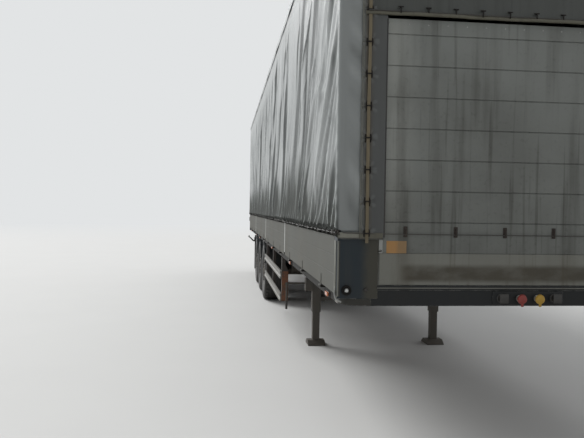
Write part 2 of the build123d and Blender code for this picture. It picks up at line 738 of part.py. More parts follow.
def hinge_lug(x0):
    """Fixed lug with a round nose, from the rail out to the hinge line."""
    r = HINGE_RADIUS
    y = HINGE_Y
    z = HINGE_Z
    nose = ThreePointArc((x0, y, z + r), (x0, y + r, z), (x0, y, z - r))
    root = Polyline((x0, y, z - r), (x0, RAIL_FACE, z - r), (x0, RAIL_FACE, z + r), (x0, y, z + r))
    return extrude(make_face(Wire([nose, *root.edges()])), amount=HINGE_WIDTH, dir=(1, 0, 0))


def make_cover():
    """Cover cloth: side sheets that turn the front corners, a front sheet and the roof sheet."""
    rear = POST_REAR + COVER_REAR_GAP
    face = HALF_WIDTH
    z1 = BODY_HEIGHT - ROOF_TURN_DOWN - CLOTH_GAP
    plan = [(rear, face - CLOTH), (FRONT_X - CLOTH, face - CLOTH), (FRONT_X - CLOTH, face - COVER_CORNER_STRIP),
            (FRONT_X, face - COVER_CORNER_STRIP), (FRONT_X, face), (rear, face)]
    base = make_face(Polyline(*[(x, y, HEM_HEIGHT) for x, y in plan], close=True))
    sheet = extrude(base, amount=z1 - HEM_HEIGHT, dir=(0, 0, 1))
    save("cover_left", sheet)
    save("cover_right", other_side(sheet))
    top = BASE_PLATE_TOP + PLANKS * PLANK_PITCH + CAP_HEIGHT
    half = face - COVER_CORNER_STRIP - CLOTH_GAP
    save("cover_front", box(FRONT_X - CLOTH, FRONT_X, -half, half, top + FRONT_HEM, z1))

    def roof_line(inset):
        """Section of the roof sheet, in from its outer line."""
        w = HALF_WIDTH - inset
        h = BODY_HEIGHT - inset
        r = EDGE_RADIUS - inset
        low = BODY_HEIGHT - ROOF_TURN_DOWN
        turn = r * (1 - cos(pi / 4))
        return make_face(Wire([
            Line((rear, -w, low), (rear, -w, h - r)),
            ThreePointArc((rear, -w, h - r), (rear, -w + turn, h - turn), (rear, -w + r, h)),
            Line((rear, -w + r, h), (rear, w - r, h)),
            ThreePointArc((rear, w - r, h), (rear, w - turn, h - turn), (rear, w, h - r)),
            Line((rear, w, h - r), (rear, w, low)),
            Line((rear, w, low), (rear, -w, low)),
        ]))

    roof = extrude(roof_line(0), amount=FRONT_X - rear, dir=(1, 0, 0))
    roof -= extrude(roof_line(CLOTH), amount=FRONT_X - rear - CLOTH, dir=(1, 0, 0))
    save("cover_roof", roof)


def make_wheels():
    """Six wheels: a tyre and a rim with its hub and brake drum each."""
    half = TYRE_WIDTH / 2
    shoulder = TYRE_RADIUS - TYRE_SHOULDER
    outer_half = [(RIM_RADIUS, TYRE_BEAD_HALF), (TYRE_BULGE, half), (shoulder, TYRE_SHOULDER_HALF),
                  (TYRE_RADIUS, TYRE_TREAD_HALF)]
    tyre = turned(outer_half + [(r, -y) for r, y in reversed(outer_half)], Axis.Y)
    rim = make_rim()
    for number, x in enumerate(AXLE_X, 1):
        place = Pos(x, WHEEL_Y, TYRE_RADIUS)
        save(f"tyre_left_{number}", place * tyre)
        save(f"tyre_right_{number}", other_side(place * tyre))
        save(f"rim_left_{number}", place * rim)
        save(f"rim_right_{number}", other_side(place * rim))


def make_rim():
    """Rim with an inset disc and hand holes, the hub in its middle and the drum behind it."""
    edge = RIM_WIDTH / 2
    disc = RIM_OFFSET
    face = disc + RIM_DISC
    bore = SPINDLE_RADIUS + FIT
    profile = [
        (bore, disc - DRUM_DEPTH), (DRUM_RADIUS, disc - DRUM_DEPTH), (DRUM_RADIUS, disc), (RIM_BARREL, disc),
        (RIM_BARREL, -edge), (RIM_RADIUS, -edge), (RIM_RADIUS, edge), (RIM_BARREL, edge),
        (RIM_BARREL, face), (HUB_RADIUS, face), (HUB_RADIUS, disc + HUB_OUT), (0, disc + HUB_OUT),
        (0, disc - HUB_WALL), (bore, disc - HUB_WALL),
    ]
    rim = turned(profile, Axis.Y)
    for n in range(HAND_HOLES):
        angle = 2 * pi * (n + 0.5) / HAND_HOLES
        rim -= rod_y(HAND_HOLE_CIRCLE * cos(angle), disc - RIM_DISC, edge, HAND_HOLE_CIRCLE * sin(angle),
                     HAND_HOLE_RADIUS)
    return rim


def make_axles():
    """Axles with spindles, spring pads and brake chambers, one for each pair of wheels."""
    drum_back = WHEEL_Y + RIM_OFFSET - DRUM_DEPTH
    tube_end = drum_back - CLEAR
    spindle_end = WHEEL_Y + RIM_OFFSET - HUB_WALL - CLEAR
    right_half = [(SPINDLE_RADIUS, -spindle_end), (SPINDLE_RADIUS, -tube_end), (AXLE_RADIUS, -tube_end)]
    left_half = [(r, -y) for r, y in reversed(right_half)]
    beam = turned([(0, -spindle_end), *right_half, *left_half, (0, spindle_end)], Axis.Y)
    z = TYRE_RADIUS
    axles = []
    for x in AXLE_X:
        pad = box(x - ARM_PAD, x + ARM_PAD, BEAM_Y - ARM_WIDTH / 2, BEAM_Y + ARM_WIDTH / 2, z, z + AXLE_RADIUS)
        front = x + AXLE_RADIUS + CHAMBER_AHEAD
        middle = z + CHAMBER_RISE
        chamber = rod_x(front, front + CHAMBER_LENGTH, CHAMBER_Y, middle, CHAMBER_RADIUS)
        chamber += box(x, front, CHAMBER_Y - CHAMBER_BRACKET, CHAMBER_Y + CHAMBER_BRACKET,
                       z, middle + CHAMBER_BRACKET)
        extras = pad + chamber
        axles.append(Pos(x, 0, z) * beam + extras + other_side(extras))
    save("axles", axles)


def make_suspension():
    """Trailing arms on hanger pins, with an air spring on each arm's tail."""
    arms = []
    hangers = []
    springs = []
    for x in AXLE_X:
        arms.extend(both(trailing_arm(x)))
        hangers.extend(both(arm_hanger(x)))
        springs.extend(both(air_spring(x - SPRING_BEHIND)))
    save("trailing_arms", arms)
    save("suspension_hangers", hangers)
    save("air_springs", springs)


def arm_eye_height():
    """Height of the trailing arms' front pins."""
    return TYRE_RADIUS + AXLE_RADIUS + ARM_HEIGHT / 2


def trailing_arm(x):
    """An arm from its round eye, over the axle, down to the spring's seat."""
    z = TYRE_RADIUS
    y = BEAM_Y - ARM_WIDTH / 2
    rest = z + AXLE_RADIUS
    top = rest + ARM_HEIGHT
    eye_x = x + HANGER_AHEAD
    eye_z = arm_eye_height()
    seat_x = x - SPRING_BEHIND
    eye = ThreePointArc((eye_x, y, eye_z + EYE_RADIUS), (eye_x + EYE_RADIUS, y, eye_z),
                        (eye_x, y, eye_z - EYE_RADIUS))
    body = Polyline(
        (eye_x, y, eye_z - EYE_RADIUS), (x + ARM_REST, y, rest), (x - ARM_REST, y, rest),
        (seat_x + SPRING_SEAT_HALF, y, z), (seat_x - SPRING_SEAT_HALF, y, z),
        (seat_x - SPRING_SEAT_HALF, y, z + SPRING_SEAT), (seat_x + SPRING_SEAT_HALF, y, z + SPRING_SEAT),
        (x - ARM_REST - SPRING_SEAT, y, top), (x + ARM_REST, y, top), (eye_x, y, eye_z + EYE_RADIUS))
    arm = extrude(make_face(Wire([eye, *body.edges()])), amount=ARM_WIDTH, dir=(0, 1, 0))
    return arm - rod_y(eye_x, y - 1, y + ARM_WIDTH + 1, eye_z, EYE_PIN)


def arm_hanger(x):
    """Two cheeks under the beam that hold a trailing arm's pin."""
    eye_x = x + HANGER_AHEAD
    eye_z = arm_eye_height()
    low = eye_z - HANGER_BELOW_EYE
    half = ARM_WIDTH / 2
    outline = [(eye_x - HANGER_LENGTH / 2, BEAM_BOTTOM), (eye_x + HANGER_LENGTH / 2, BEAM_BOTTOM),
               (eye_x + HANGER_TOE / 2, low), (eye_x - HANGER_TOE / 2, low)]
    hanger = prism_y(outline, BEAM_Y - HANGER_WIDTH / 2, BEAM_Y + HANGER_WIDTH / 2)
    hanger -= box(eye_x - HANGER_LENGTH, eye_x + HANGER_LENGTH, BEAM_Y - half - 1, BEAM_Y + half + 1,
                  low - 1, BEAM_BOTTOM - HANGER_TOP_PLATE)
    return hanger + rod_y(eye_x, BEAM_Y - half - 2, BEAM_Y + half + 2, eye_z, EYE_PIN)


def air_spring(x):
    """Rubber bellows of two lobes on a piston."""
    low = TYRE_RADIUS + SPRING_SEAT
    piston = TYRE_RADIUS + PISTON_TOP
    profile = [
        (0, low), (PISTON_RADIUS, low), (PISTON_RADIUS, piston), (SPRING_RADIUS, piston + SPRING_LOBE),
        (SPRING_WAIST, (piston + BEAM_BOTTOM) / 2), (SPRING_RADIUS, BEAM_BOTTOM - SPRING_LOBE),
        (SPRING_NECK, BEAM_BOTTOM), (0, BEAM_BOTTOM),
    ]
    return Pos(x, BEAM_Y, 0) * turned(profile, Axis.Z)


def make_landing_gear():
    """Two telescopic legs on feet, their braces, and the cross shaft with gearbox and crank."""
    x = back(LEGS_BACK)
    flange_edge = BEAM_Y + BEAM_FLANGE / 2
    y0 = flange_edge + LEG_PLATE
    y1 = y0 + LEG_OUTER
    y = (y0 + y1) / 2
    half = LEG_OUTER / 2
    inner = LEG_INNER / 2
    leg = box(x - half, x + half, y0, y1, LEG_OUTER_BOTTOM, LEG_TOP)
    leg += box(x - LEG_PLATE_LENGTH / 2, x + LEG_PLATE_LENGTH / 2, flange_edge, y0,
               BEAM_BOTTOM, LEG_TOP - LEG_PLATE_DROP)
    leg += box(x - inner, x + inner, y - inner, y + inner, FOOT_HEIGHT, LEG_OUTER_BOTTOM)
    leg += prism_y([(x - FOOT_LENGTH / 2, 0), (x + FOOT_LENGTH / 2, 0), (x + FOOT_LENGTH / 2, FOOT_SOLE),
                    (x + FOOT_TOP / 2, FOOT_HEIGHT), (x - FOOT_TOP / 2, FOOT_HEIGHT),
                    (x - FOOT_LENGTH / 2, FOOT_SOLE)], y - FOOT_WIDTH / 2, y + FOOT_WIDTH / 2)
    brace_y1 = flange_edge - BRACE_IN
    brace_y0 = brace_y1 - BRACE
    brace_top = x - BRACE_REACH
    leg += prism_y([(x - half, BRACE_BOTTOM), (x - half, BRACE_BOTTOM + BRACE_FOOT),
                    (brace_top + BRACE, BEAM_BOTTOM), (brace_top, BEAM_BOTTOM)], brace_y0, brace_y1)
    pad_z = BRACE_BOTTOM - (BRACE_PAD_HEIGHT - BRACE_FOOT) / 2
    leg += box(x - half - BRACE_PAD, x - half, brace_y0, y, pad_z, pad_z + BRACE_PAD_HEIGHT)
    cross = box(x - CROSS_BAR / 2, x + CROSS_BAR / 2, -y0, y0, BRACE_BOTTOM, BRACE_BOTTOM + CROSS_BAR)
    save("landing_legs", leg + other_side(leg) + cross)

    shaft = rod_y(x, -y0, y0, SHAFT_HEIGHT, SHAFT_RADIUS)
    box_y = -y1 - GEARBOX_DEPTH
    gearbox = box(x - GEARBOX_LENGTH / 2, x + GEARBOX_LENGTH / 2, box_y, -y1,
                  SHAFT_HEIGHT - GEARBOX_BELOW, SHAFT_HEIGHT + GEARBOX_ABOVE)
    gearbox = chamfer(gearbox.edges().filter_by(Axis.Y), CRANK_RADIUS)
    crank_y = -RAIL_FACE + CRANK_INSET
    crank = rod_y(x, crank_y, box_y, SHAFT_HEIGHT, CRANK_RADIUS)
    crank += rod_z(x, crank_y + CRANK_RADIUS, SHAFT_HEIGHT - CRANK_REACH, SHAFT_HEIGHT + CRANK_RADIUS,
                   CRANK_RADIUS)
    save("landing_drive", [shaft, gearbox + crank])


def make_guards():
    """Side underrun guards: two grooved rails a side on hanging posts, the front post with a wide plate."""
    z_top = BEAM_TOP - RAIL_HEIGHT
    y1 = HALF_WIDTH - GUARD_INSET
    y0 = y1 - GUARD_RAIL_T
    groove = y1 - GUARD_RAIL_GROOVE
    rear = AXLE_X[0] + GUARD_GAP
    front = back(GUARD_FRONT)
    rails = []
    for top in GUARD_RAIL_TOPS:
        low = top - GUARD_RAIL_HEIGHT
        groove_low = low + GUARD_RAIL_LIP
        groove_top = top - GUARD_RAIL_LIP
        outline = [(y0, low), (y1, low), (y1, groove_low), (groove, groove_low + GUARD_RAIL_GROOVE),
                   (groove, groove_top - GUARD_RAIL_GROOVE), (y1, groove_top), (y1, top), (y0, top)]
        rails.extend(both(prism_x(outline, rear, front)))
    save("guard_rails", rails)

    low = GUARD_RAIL_TOPS[-1] - GUARD_RAIL_HEIGHT
    first = front - GUARD_POST / 2
    last = rear + GUARD_OVERHANG
    posts = []
    for n in range(GUARD_POSTS):
        x = first + n * (last - first) / (GUARD_POSTS - 1)
        post = box(x - GUARD_POST / 2, x + GUARD_POST / 2, y0 - GUARD_POST_DEPTH, y0, low, z_top)
        if n == 0:
            wing_side = GUARD_RAIL_TOPS[0]
            wing_top = wing_side + GUARD_WING_TAPER
            wing = [(y0, low), (y0, wing_top), (y0 - GUARD_POST_DEPTH, wing_top), (y1 - GUARD_WING, wing_side),
                    (y1 - GUARD_WING, low)]
            post += prism_x(wing, front - GUARD_WING_T, front)
        posts.extend(both(post))
    save("guard_posts", posts)


def make_mudguards():
    """Curved mudguards on stays from the beams, and flaps behind the last ones."""
    y0 = WHEEL_Y - MUDGUARD_WIDTH / 2
    y1 = y0 + MUDGUARD_WIDTH
    web = BEAM_Y + BEAM_WEB / 2
    a = radians(MUDGUARD_SWEEP)
    stay_radius = MUDGUARD_RADIUS + MUDGUARD_T + STAY_T / 2 - STAY_SUNK
    solids = []
    for x in AXLE_X:
        edges = []
        for radius in (MUDGUARD_RADIUS, MUDGUARD_RADIUS + MUDGUARD_T):
            start = (x - radius * sin(a), y0, TYRE_RADIUS + radius * cos(a))
            end = (x + radius * sin(a), y0, TYRE_RADIUS + radius * cos(a))
            edges.append((start, end, ThreePointArc(start, (x, y0, TYRE_RADIUS + radius), end)))
        inner, outer = edges
        wire = Wire([inner[2], Line(inner[1], outer[1]), outer[2], Line(outer[0], inner[0])])
        guard = extrude(make_face(wire), amount=MUDGUARD_WIDTH, dir=(0, 1, 0))
        for angle in (-STAY_ANGLE, STAY_ANGLE):
            bar = Pos(0, (web + y1) / 2, stay_radius) * Box(STAY_WIDTH, y1 - web, STAY_T)
            guard += Pos(x, 0, TYRE_RADIUS) * Rot(0, angle, 0) * bar
        solids.extend(both(guard))
    save("mudguards", solids)
    x = AXLE_X[-1] - FLAP_BEHIND
    flap = box(x - FLAP_T, x, y0, y1, FLAP_BOTTOM, FLAP_TOP)
    flap += box(x, x + FLAP_BAR, web, y1, FLAP_TOP - FLAP_BAR, FLAP_TOP)
    save("mud_flaps", both(flap))


def make_rear_end():
    """Rear underrun bumper, lamp units on their bar, outline lamps on rubber arms, and buffers."""
    x = REAR_X + BUMPER_AHEAD
    top = BUMPER_BOTTOM + BUMPER_SIZE
    beam = box(x, x + BUMPER_SIZE, -BUMPER_WIDTH / 2, BUMPER_WIDTH / 2, BUMPER_BOTTOM, top)
    tail = BEAM_TOP - BEAM_TAIL_DEPTH
    outline = [(x, top), (x + BUMPER_SIZE, top), (x + BUMPER_ARM_TOP, tail), (x, tail)]
    arm = prism_y(outline, BEAM_Y - BUMPER_ARM / 2, BEAM_Y + BUMPER_ARM / 2)
    save("rear_bumper", beam + arm + other_side(arm))

    lamp_y = HALF_WIDTH - LAMP_INSET
    lamp_x = POST_REAR + LAMP_DEPTH
    low = LAMP_TOP - LAMP_HEIGHT
    save("rear_lamps", both(box(POST_REAR, lamp_x, lamp_y - LAMP_LENGTH, lamp_y, low, LAMP_TOP)))
    bar = box(lamp_x, lamp_x + LAMP_BAR, -lamp_y, lamp_y, LAMP_TOP - LAMP_BAR, LAMP_TOP)
    for y in (-BEAM_Y, BEAM_Y):
        bar += box(lamp_x, lamp_x + LAMP_BAR, y - LAMP_BAR / 2, y + LAMP_BAR / 2, LAMP_TOP, tail)
    save("lamp_bar", bar)
    root = box(POST_REAR, lamp_x, lamp_y, lamp_y + ARM_LAMP_ROOT, low, low + 2 * ARM_LAMP_ROOT)
    save("outline_lamps", both(root + outline_lamp(lamp_y + ARM_LAMP_ROOT, low + ARM_LAMP_ROOT)))

    buffer_top = FLOOR_TOP - BUFFER_DROP
    pad = box(REAR_X - REAR_REACH, POST_REAR, BOARD_BACK - BUFFER_WIDTH, BOARD_BACK,
              buffer_top - BUFFER_HEIGHT, buffer_top)
    save("rear_buffers", both(pad))


def outline_lamp(y0, z0):
    """A tapered rubber arm that slants up and out, with a round lamp at its end."""
    length = (ARM_LAMP_REACH ** 2 + ARM_LAMP_RISE ** 2) ** 0.5
    across = ARM_LAMP_RISE / length
    up = ARM_LAMP_REACH / length
    y1 = y0 + ARM_LAMP_REACH
    z1 = z0 + ARM_LAMP_RISE
    root = ARM_LAMP_ROOT
    neck = ARM_LAMP_NECK
    outline = []
    for y, z, half in ((y0, z0, root), (y0, z0, -root), (y1, z1, -neck), (y1, z1, neck)):
        outline.append((y - across * half, z + up * half))
    x = POST_REAR + LAMP_DEPTH / 2
    arm = prism_x(outline, x - neck, x + neck)
    return arm + rod_x(x - ARM_LAMP_LENGTH / 2, x + ARM_LAMP_LENGTH / 2, y1, z1, ARM_LAMP_HEAD)


def make_tanks():
    """Air tanks with domed ends, hung by straps from two cross-members outside the beams."""
    members = [x + MEMBER_WIDTH / 2 for x in member_places()]
    members.sort(key=lambda x: abs(x - back(TANK_BACK)))
    places = members[:2]
    middle = sum(places) / 2
    y = BEAM_Y + BEAM_FLANGE / 2 + TANK_RADIUS + TANK_GAP
    z = BEAM_TOP - MEMBER_HEIGHT - TANK_RADIUS - TANK_DROP
    end = TANK_LENGTH / 2
    dome = end - TANK_DOME
    profile = [(0, -end), (TANK_DOME_RADIUS, -end), (TANK_RADIUS, -dome), (TANK_RADIUS, dome),
               (TANK_DOME_RADIUS, end), (0, end)]
    tank = Pos(middle, y, z) * Rot(0, 0, 90) * turned(profile, Axis.Y)
    for x in places:
        tank += box(x - TANK_STRAP / 2, x + TANK_STRAP / 2, y - TANK_STRAP, y + TANK_STRAP,
                    z + TANK_RADIUS - TANK_DROP, BEAM_TOP - MEMBER_HEIGHT)
    save("air_tanks", both(tank))


def make_front_couplings():
    """Line couplings and sockets at the front member."""
    z = BEAM_TOP - RAIL_HEIGHT / 2
    parts = []
    for y, radius in LINE_COUPLINGS:
        parts.extend(both(rod_x(MEMBER_FRONT, FRONT_X + FRONT_REACH, y, z, radius)))
    save("line_couplings", parts)


def make_lamps():
    """Front marker lamps on the corner plates and side marker lamps on the rails."""
    lamp = rod_x(STEEL_FRONT, STEEL_FRONT + FRONT_LAMP_T, BOARD_FACE - FRONT_LAMP_IN,
                 CORNER_PLATE_BOTTOM + FRONT_LAMP_UP, FRONT_LAMP_RADIUS)
    solids = both(lamp)
    z0 = BEAM_TOP - RAIL_HEIGHT + SIDE_LAMP_RISE
    z1 = z0 + SIDE_LAMP_HEIGHT
    half = SIDE_LAMP_LENGTH / 2
    between = [(front + rear) / 2 for front, rear in zip(AXLE_X, AXLE_X[1:])]
    places = [back(distance) for distance in SIDE_LAMPS] + between + [REAR_X + LAST_SIDE_LAMP]
    for x in places:
        solids.extend(both(box(x - half, x + half, RAIL_FACE, RAIL_FACE + SIDE_LAMP_T, z0, z1)))
    save("marker_lamps", solids)


os.makedirs("parts", exist_ok=True)
make_beams()
make_cross_members()
make_outer_frame()
make_coupling()
make_floor()
make_headboard()
make_front_posts()
make_side_frames()
make_roof_frame()
make_rear_frame()
make_doors()
make_boards()
make_cover()
make_wheels()
make_axles()
make_suspension()
make_landing_gear()
make_guards()
make_mudguards()
make_rear_end()
make_tanks()
make_front_couplings()
make_lamps()
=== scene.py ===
"""A covered three-axle semi trailer, dressed round its solid frame.

Metres. X points forward, Y to the left and Z up from the ground.
"""

import logging
import math
from collections.abc import Callable, Iterable, Sequence
from dataclasses import dataclass, field
from enum import Enum

import bpy
import numpy as np
from mathutils import Matrix, Vector

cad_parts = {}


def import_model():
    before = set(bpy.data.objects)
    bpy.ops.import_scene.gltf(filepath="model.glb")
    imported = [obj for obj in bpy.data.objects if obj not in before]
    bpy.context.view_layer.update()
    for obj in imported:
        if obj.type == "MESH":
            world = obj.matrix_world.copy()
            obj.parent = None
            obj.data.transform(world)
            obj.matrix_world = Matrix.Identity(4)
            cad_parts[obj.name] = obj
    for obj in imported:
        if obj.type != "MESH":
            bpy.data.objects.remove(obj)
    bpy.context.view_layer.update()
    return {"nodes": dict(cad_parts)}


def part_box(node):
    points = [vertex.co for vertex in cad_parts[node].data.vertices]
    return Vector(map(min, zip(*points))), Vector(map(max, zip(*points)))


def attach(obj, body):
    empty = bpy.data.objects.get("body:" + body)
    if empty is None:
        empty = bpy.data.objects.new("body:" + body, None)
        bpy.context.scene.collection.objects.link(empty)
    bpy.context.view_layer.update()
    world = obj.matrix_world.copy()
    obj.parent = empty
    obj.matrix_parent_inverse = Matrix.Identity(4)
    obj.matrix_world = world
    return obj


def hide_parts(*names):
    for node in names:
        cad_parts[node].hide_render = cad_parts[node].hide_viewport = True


LOG = logging.getLogger("trailer")
Point = Sequence[float]
Pair = tuple[float, float]
Colour = tuple[float, float, float, float]
Piece = bpy.types.Object
Socket = bpy.types.NodeSocket


class Side(Enum):
    """Left or right side of the trailer, with the sign of Y there."""

    LEFT = 1
    RIGHT = -1

    @property
    def word(self) -> str:
        """Name of the side as the frame's nodes spell it."""
        return self.name.lower()


class Axis(Enum):
    """Direction of a turned piece's axis, with the direction its radius is drawn in."""

    X = ((1, 0, 0), (0, 1, 0))
    Y = ((0, 1, 0), (0, 0, 1))
    Z = ((0, 0, 1), (1, 0, 0))

    @property
    def along(self) -> Vector:
        """Unit vector along the axis."""
        return Vector(self.value[0])

    @property
    def across(self) -> Vector:
        """Unit vector that the radius is drawn along."""
        return Vector(self.value[1])


class Bench:
    """The modelling bench: makes and shapes one piece at a time with the modelling operators."""

    @staticmethod
    def pick(*pieces: Piece) -> None:
        """Select only these pieces, with the last one active.

        Args:
            pieces: the pieces, none to clear the selection.
        """
        bpy.ops.object.select_all(action="DESELECT")
        for piece in pieces:
            piece.select_set(True)
        if pieces:
            bpy.context.view_layer.objects.active = pieces[-1]

    @staticmethod
    def put(name: str, data: bpy.types.ID) -> Piece:
        """A new object of the scene with this mesh, curve, lamp or camera.

        Args:
            name: the object's name.
            data: what it shows.

        Returns:
            The new object.
        """
        piece = bpy.data.objects.new(name, data)
        bpy.context.scene.collection.objects.link(piece)
        return piece

    @staticmethod
    def take(name: str) -> Piece:
        """Name the new active piece and put its place into its mesh.

        Args:
            name: the piece's name.

        Returns:
            The piece, at the origin, unturned and unscaled.
        """
        piece = bpy.context.object
        piece.name = name
        piece.data.name = name
        bpy.ops.object.transform_apply(location=True, rotation=True, scale=True)
        return piece

    @staticmethod
    def edit(piece: Piece, *steps: Callable[[], object],
             chosen: Callable[[bpy.types.MeshPolygon], bool] | None = None) -> Piece:
        """Run edit-mode steps on the whole of a piece or on chosen faces.

        Args:
            piece: the piece to shape.
            steps: calls made in edit mode, with the whole or the chosen faces selected first.
            chosen: tells whether a face is taken, or None for the whole.

        Returns:
            The same piece.
        """
        Bench.pick(piece)
        bpy.ops.object.mode_set(mode="EDIT")
        bpy.ops.mesh.select_mode(type="FACE" if chosen else "VERT")
        bpy.ops.mesh.select_all(action="DESELECT" if chosen else "SELECT")
        if chosen:
            bpy.ops.object.mode_set(mode="OBJECT")
            for face in piece.data.polygons:
                face.select = chosen(face)
            bpy.ops.object.mode_set(mode="EDIT")
        for step in steps:
            step()
        bpy.ops.object.mode_set(mode="OBJECT")
        return piece

    @staticmethod
    def close(piece: Piece, gap: float = 1e-5) -> Piece:
        """Merge doubled points and turn all faces outwards.

        Args:
            piece: the piece to close.
            gap: points nearer than this are merged.

        Returns:
            The same piece.
        """
        return Bench.edit(
            piece,
            lambda: bpy.ops.mesh.remove_doubles(threshold=gap),
            lambda: bpy.ops.mesh.normals_make_consistent(inside=False),
        )

    @staticmethod
    def block(name: str, low: Point, high: Point, bevel: float = 0.002, segments: int = 2) -> Piece:
        """A block between two corners with rounded edges.

        Args:
            name: the piece's name.
            low: its lowest corner.
            high: its highest corner.
            bevel: width of the rounded edges, or 0 for none.
            segments: facets of each rounded edge.

        Returns:
            The new piece.
        """
        start, end = Vector(low), Vector(high)
        Bench.pick()
        bpy.ops.mesh.primitive_cube_add(size=1, location=(start + end) / 2, scale=end - start)
        piece = Bench.take(name)
        if bevel:
            Bench.edit(piece, lambda: bpy.ops.mesh.bevel(offset=bevel, segments=segments, affect="EDGES"))
        return piece

    @staticmethod
    def line(name: str, points: Sequence[Point]) -> Piece:
        """A chain of edges through points, drawn from one vertex by extruding it.

        Args:
            name: the piece's name.
            points: the chain's points, in order.

        Returns:
            The new piece, which has edges only.
        """
        Bench.pick()
        bpy.ops.mesh.primitive_plane_add(size=0.01, location=points[0])
        piece = Bench.take(name)

        def draw() -> None:
            """Merge the plane to a vertex and extrude it from point to point."""
            bpy.ops.mesh.merge(type="CENTER")
            for start, end in zip(points, points[1:]):
                step = Vector(end) - Vector(start)
                bpy.ops.mesh.extrude_vertices_move(TRANSFORM_OT_translate={"value": step})

        return Bench.edit(piece, draw)

    @staticmethod
    def turned(name: str, axis: Axis, centre: Point, profile: Sequence[Pair], steps: int = 32) -> Piece:
        """A piece spun round an axis.

        Args:
            name: the piece's name.
            axis: the axis it is turned about.
            centre: a point on the axis, which the profile's lengths start from.
            profile: pairs of radius and length along the axis.
            steps: facets round the piece.

        Returns:
            The new piece, closed and facing outwards.
        """
        origin = Vector(centre)
        points = [origin + axis.across * radius + axis.along * length for radius, length in profile]
        piece = Bench.line(name, points)
        Bench.edit(piece, lambda: bpy.ops.mesh.spin(
            steps=steps, angle=2 * math.pi, center=origin, axis=axis.along))
        return Bench.close(piece)

    @staticmethod
    def profiled(name: str, outline: Sequence[Point], drawn: Point, bevel: float = 0.0) -> Piece:
        """A flat outline drawn out to a solid.

        Args:
            name: the piece's name.
            outline: the outline's corners in space, in order.
            drawn: how far the outline is drawn out.
            bevel: width of the rounded edges.

        Returns:
            The new piece.
        """
        piece = Bench.line(name, outline)
        Bench.edit(
            piece,
            lambda: bpy.ops.mesh.edge_face_add(),
            lambda: bpy.ops.mesh.extrude_region_move(TRANSFORM_OT_translate={"value": Vector(drawn)}),
        )
        Bench.close(piece)
        if bevel:
            Bench.modify(piece, "BEVEL", width=bevel, segments=2, limit_method="ANGLE")
        return piece

    @staticmethod
    def pipe(name: str, points: Sequence[Point], radius: float, rounding: int = 3, smooth: bool = True) -> Piece:
        """A round bar, hose or taut line through points.

        Args:
            name: the piece's name.
            points: the centre line's points.
            radius: radius of the section.
            rounding: facets of a quarter of the section, less one.
            smooth: True for a smooth line, False for straight runs.

        Returns:
            The new piece as a closed mesh.
        """
        curve = bpy.data.curves.new(name, "CURVE")
        curve.dimensions = "3D"
        curve.bevel_depth = radius
        curve.bevel_resolution = rounding
        curve.use_fill_caps = True
        spline = curve.splines.new("NURBS" if smooth else "POLY")
        spline.points.add(len(points) - 1)
        for knot, place in zip(spline.points, points):
            knot.co = (*place, 1)
        if smooth:
            spline.order_u = 3
            spline.use_endpoint_u = True
        Bench.pick(Bench.put(name, curve))
        bpy.ops.object.convert(target="MESH")
        return Bench.close(bpy.context.object, gap=1e-6)

    @staticmethod
    def modify(piece: Piece, kind: str, **settings: object) -> Piece:
        """Put a modifier on a piece and apply it.

        Args:
            piece: the piece to change.
            kind: the modifier's type.
            settings: the modifier's values.

        Returns:
            The same piece.
        """
        Bench.pick(piece)
        modifier = piece.modifiers.new(kind.lower(), kind)
        for name, value in settings.items():
            setattr(modifier, name, value)
        bpy.ops.object.modifier_apply(modifier=modifier.name)
        return piece

    @staticmethod
    def row(piece: Piece, count: int, step: Point) -> Piece:
        """Repeat a piece in a row, joined in one mesh."""
        return Bench.modify(piece, "ARRAY", count=count, use_relative_offset=False,
                            use_constant_offset=True, constant_offset_displace=step)

    @staticmethod
    def drill(piece: Piece, cutter: Piece) -> Piece:
        """Cut one piece out of another and remove the cutter.

        Args:
            piece: the piece to cut.
            cutter: the piece that cuts, which is removed.

        Returns:
            The same piece.
        """
        Bench.modify(piece, "BOOLEAN", operation="DIFFERENCE", solver="EXACT", object=cutter)
        bpy.data.objects.remove(cutter)
        return piece

    @staticmethod
    def copies(name: str, piece: Piece, places: Iterable[Matrix | Point]) -> Piece:
        """Copies of a piece at several places, joined, in place of the piece.

        Args:
            name: name of the joined piece.
            piece: the model piece, which is removed.
            places: where each copy goes, as a matrix or as a shift.

        Returns:
            The joined piece.
        """
        made = []
        for place in places:
            mesh = piece.data.copy()
            mesh.transform(place if isinstance(place, Matrix) else Matrix.Translation(place))
            made.append(Bench.put(name, mesh))
        bpy.data.objects.remove(piece)
        Bench.join(name, made)
        return made[-1]

    @staticmethod
    def join(name: str, pieces: Sequence[Piece]) -> Piece:
        """Join pieces into the last of them and name it.

        Args:
            name: the joined piece's name.
            pieces: the pieces, of which the last one stays.

        Returns:
            The last piece.
        """
        Bench.pick(*pieces)
        if len(pieces) > 1:
            bpy.ops.object.join()
        pieces[-1].name = name
        return pieces[-1]

    @staticmethod
    def turn_over(mesh: bpy.types.Mesh) -> None:
        """Mirror a mesh to the other side of the trailer, its faces still outwards."""
        mesh.transform(Matrix.Scale(-1, 4, (0, 1, 0)))
        mesh.flip_normals()

    @staticmethod
    def with_twin(name: str, piece: Piece) -> Piece:
        """Join a piece with its mirror image on the other side.

        Args:
            name: the joined piece's name.
            piece: the piece on one side.

        Returns:
            The same piece.
        """
        mesh = piece.data.copy()
        Bench.turn_over(mesh)
        return Bench.join(name, [Bench.put(name + "_twin", mesh), piece])


